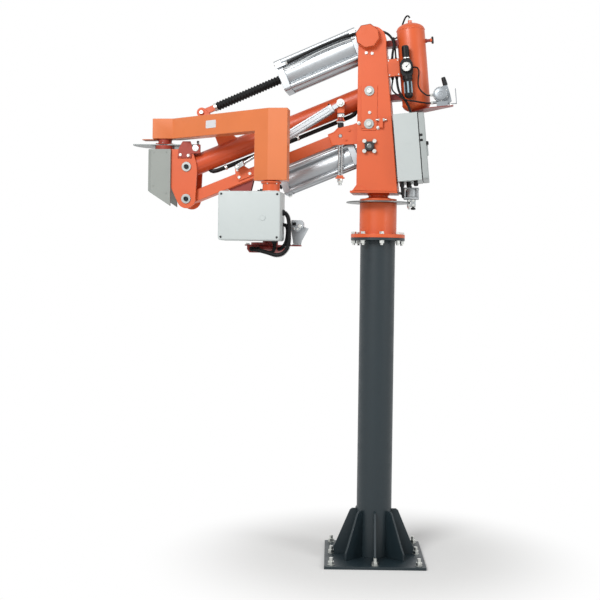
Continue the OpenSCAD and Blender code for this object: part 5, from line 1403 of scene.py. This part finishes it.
hose("tool_hoses", black_rubber)
rib_pattern = hose_rib_tree()
HOSE_SIDE, HOSE_TOP, HOSE_LOW = BOX_LEFT + BOX_WIDE, BOX_TOP, BOX_TOP - BOX_HIGH
BARB_Z = TOOL_LOW + 0.018
SIDE_ROUTE = [
    (HOSE_SIDE + 0.012, -0.118, HOSE_TOP - 0.105), (HOSE_SIDE + 0.026, -0.118, HOSE_TOP - 0.122),
    (HOSE_SIDE + 0.033, -0.117, HOSE_TOP - 0.152), (HOSE_SIDE + 0.034, -0.116, HOSE_TOP - 0.200),
    (HOSE_SIDE + 0.034, -0.116, HOSE_LOW - 0.003), (HOSE_SIDE + 0.025, -0.116, HOSE_LOW - 0.041),
    (HOSE_SIDE, -0.116, HOSE_LOW - 0.067), (HOSE_SIDE - 0.034, -0.116, HOSE_LOW - 0.073),
    (HOSE_SIDE - 0.068, -0.116, HOSE_LOW - 0.062), (HOSE_SIDE - 0.101, -0.118, HOSE_LOW - 0.053),
    (HOSE_SIDE - 0.133, -0.116, HOSE_LOW - 0.046), (HOSE_SIDE - 0.155, -0.106, HOSE_LOW - 0.042),
    (-0.084, -0.092, BARB_Z), (-0.084, -0.076, BARB_Z)]
LOW_ROUTE = [
    (0.036, -0.086, HOSE_LOW - 0.014), (0.036, -0.088, HOSE_LOW - 0.040),
    (0.028, -0.090, HOSE_LOW - 0.056), (0.008, -0.092, HOSE_LOW - 0.060),
    (-0.016, -0.094, HOSE_LOW - 0.054), (-0.036, -0.094, HOSE_LOW - 0.046),
    (-0.048, -0.089, HOSE_LOW - 0.042), (-0.050, -0.083, BARB_Z), (-0.050, -0.076, BARB_Z)]
INNER_ROUTE = [
    (HOSE_SIDE + 0.010, -0.094, HOSE_TOP - 0.165), (HOSE_SIDE + 0.018, -0.094, HOSE_TOP - 0.172),
    (HOSE_SIDE + 0.023, -0.093, HOSE_TOP - 0.190), (HOSE_SIDE + 0.020, -0.091, HOSE_LOW + 0.010),
    (HOSE_SIDE + 0.008, -0.087, HOSE_LOW - 0.020), (HOSE_SIDE - 0.010, -0.082, HOSE_LOW - 0.036),
    (HOSE_SIDE - 0.022, -0.072, HOSE_LOW - 0.040), (HOSE_SIDE - 0.026, -0.060, HOSE_LOW - 0.040)]
# The inner hose runs a little way past its ribs at both ends
INNER_START = (HOSE_SIDE - 0.002, -0.094, HOSE_TOP - 0.165)
INNER_END = (HOSE_SIDE - 0.026, -0.050, HOSE_LOW - 0.040)
tube("inner_hose", [wrist_frame @ Vector(p) for p in [INNER_START, *INNER_ROUTE, INNER_END]],
     0.0092, black_rubber, "wrist")
for name, radius, route in (("side", 0.0105, SIDE_ROUTE), ("low", 0.009, LOW_ROUTE),
                            ("inner", 0.0095, INNER_ROUTE)):
    ribs = grown("hose_ribs_" + name, [wrist_frame @ Vector(p) for p in route],
                 [(i, i + 1) for i in range(len(route) - 1)], rib_pattern,
                 {"Hose Radius": radius - 0.0006, "Rib Radius": 0.0013, "Rib Pitch": 0.0052},
                 black_rubber)
    finished(ribs, black_rubber, "wrist", crease=60)

# ---------------------------------------------------------------- Tool valve
# A small anodised valve on a folded steel bracket, with a plain black cap over its coil, a
# round plated push button and two port fittings.
dress("tool_valve", anodised, edge=0.001)
VALVE_FACE = -0.034
plates("valve_coil", [oblong((0.119, 0.139), (FLANGE_TOP + 0.101, FLANGE_TOP + 0.117), 0.002)],
       VALVE_FACE - 0.003, VALVE_FACE, wrist_frame, black_plastic, "wrist", edge=0.0008)
turned("valve_button", [(0, 0), (0.010, 0), (0.010, 0.004), (0.0075, 0.006), (0, 0.006)], 32,
       wrist_frame, (0.158, VALVE_FACE, FLANGE_TOP + 0.098), (0, -1, 0), zinc_plate, "wrist")
for i, (x, z) in enumerate(((0.128, 0.084), (0.146, 0.082))):
    turned("valve_fitting_%d" % i,
           [(0, 0), (0.006, 0), (0.006, 0.004), (0.0045, 0.005), (0.0045, 0.010), (0, 0.010)], 6,
           wrist_frame, (x, VALVE_FACE, FLANGE_TOP + z), (0, -1, 0), zinc_plate, "wrist")
fasten("valve_foot_screws", socket_pattern,
       spots(wrist_frame, [(0.126, -0.011, FLANGE_TOP + 0.005),
                           (0.152, -0.011, FLANGE_TOP + 0.005)], (0, 0, 1)),
       zinc_plate, "wrist", TINY_SCREW)
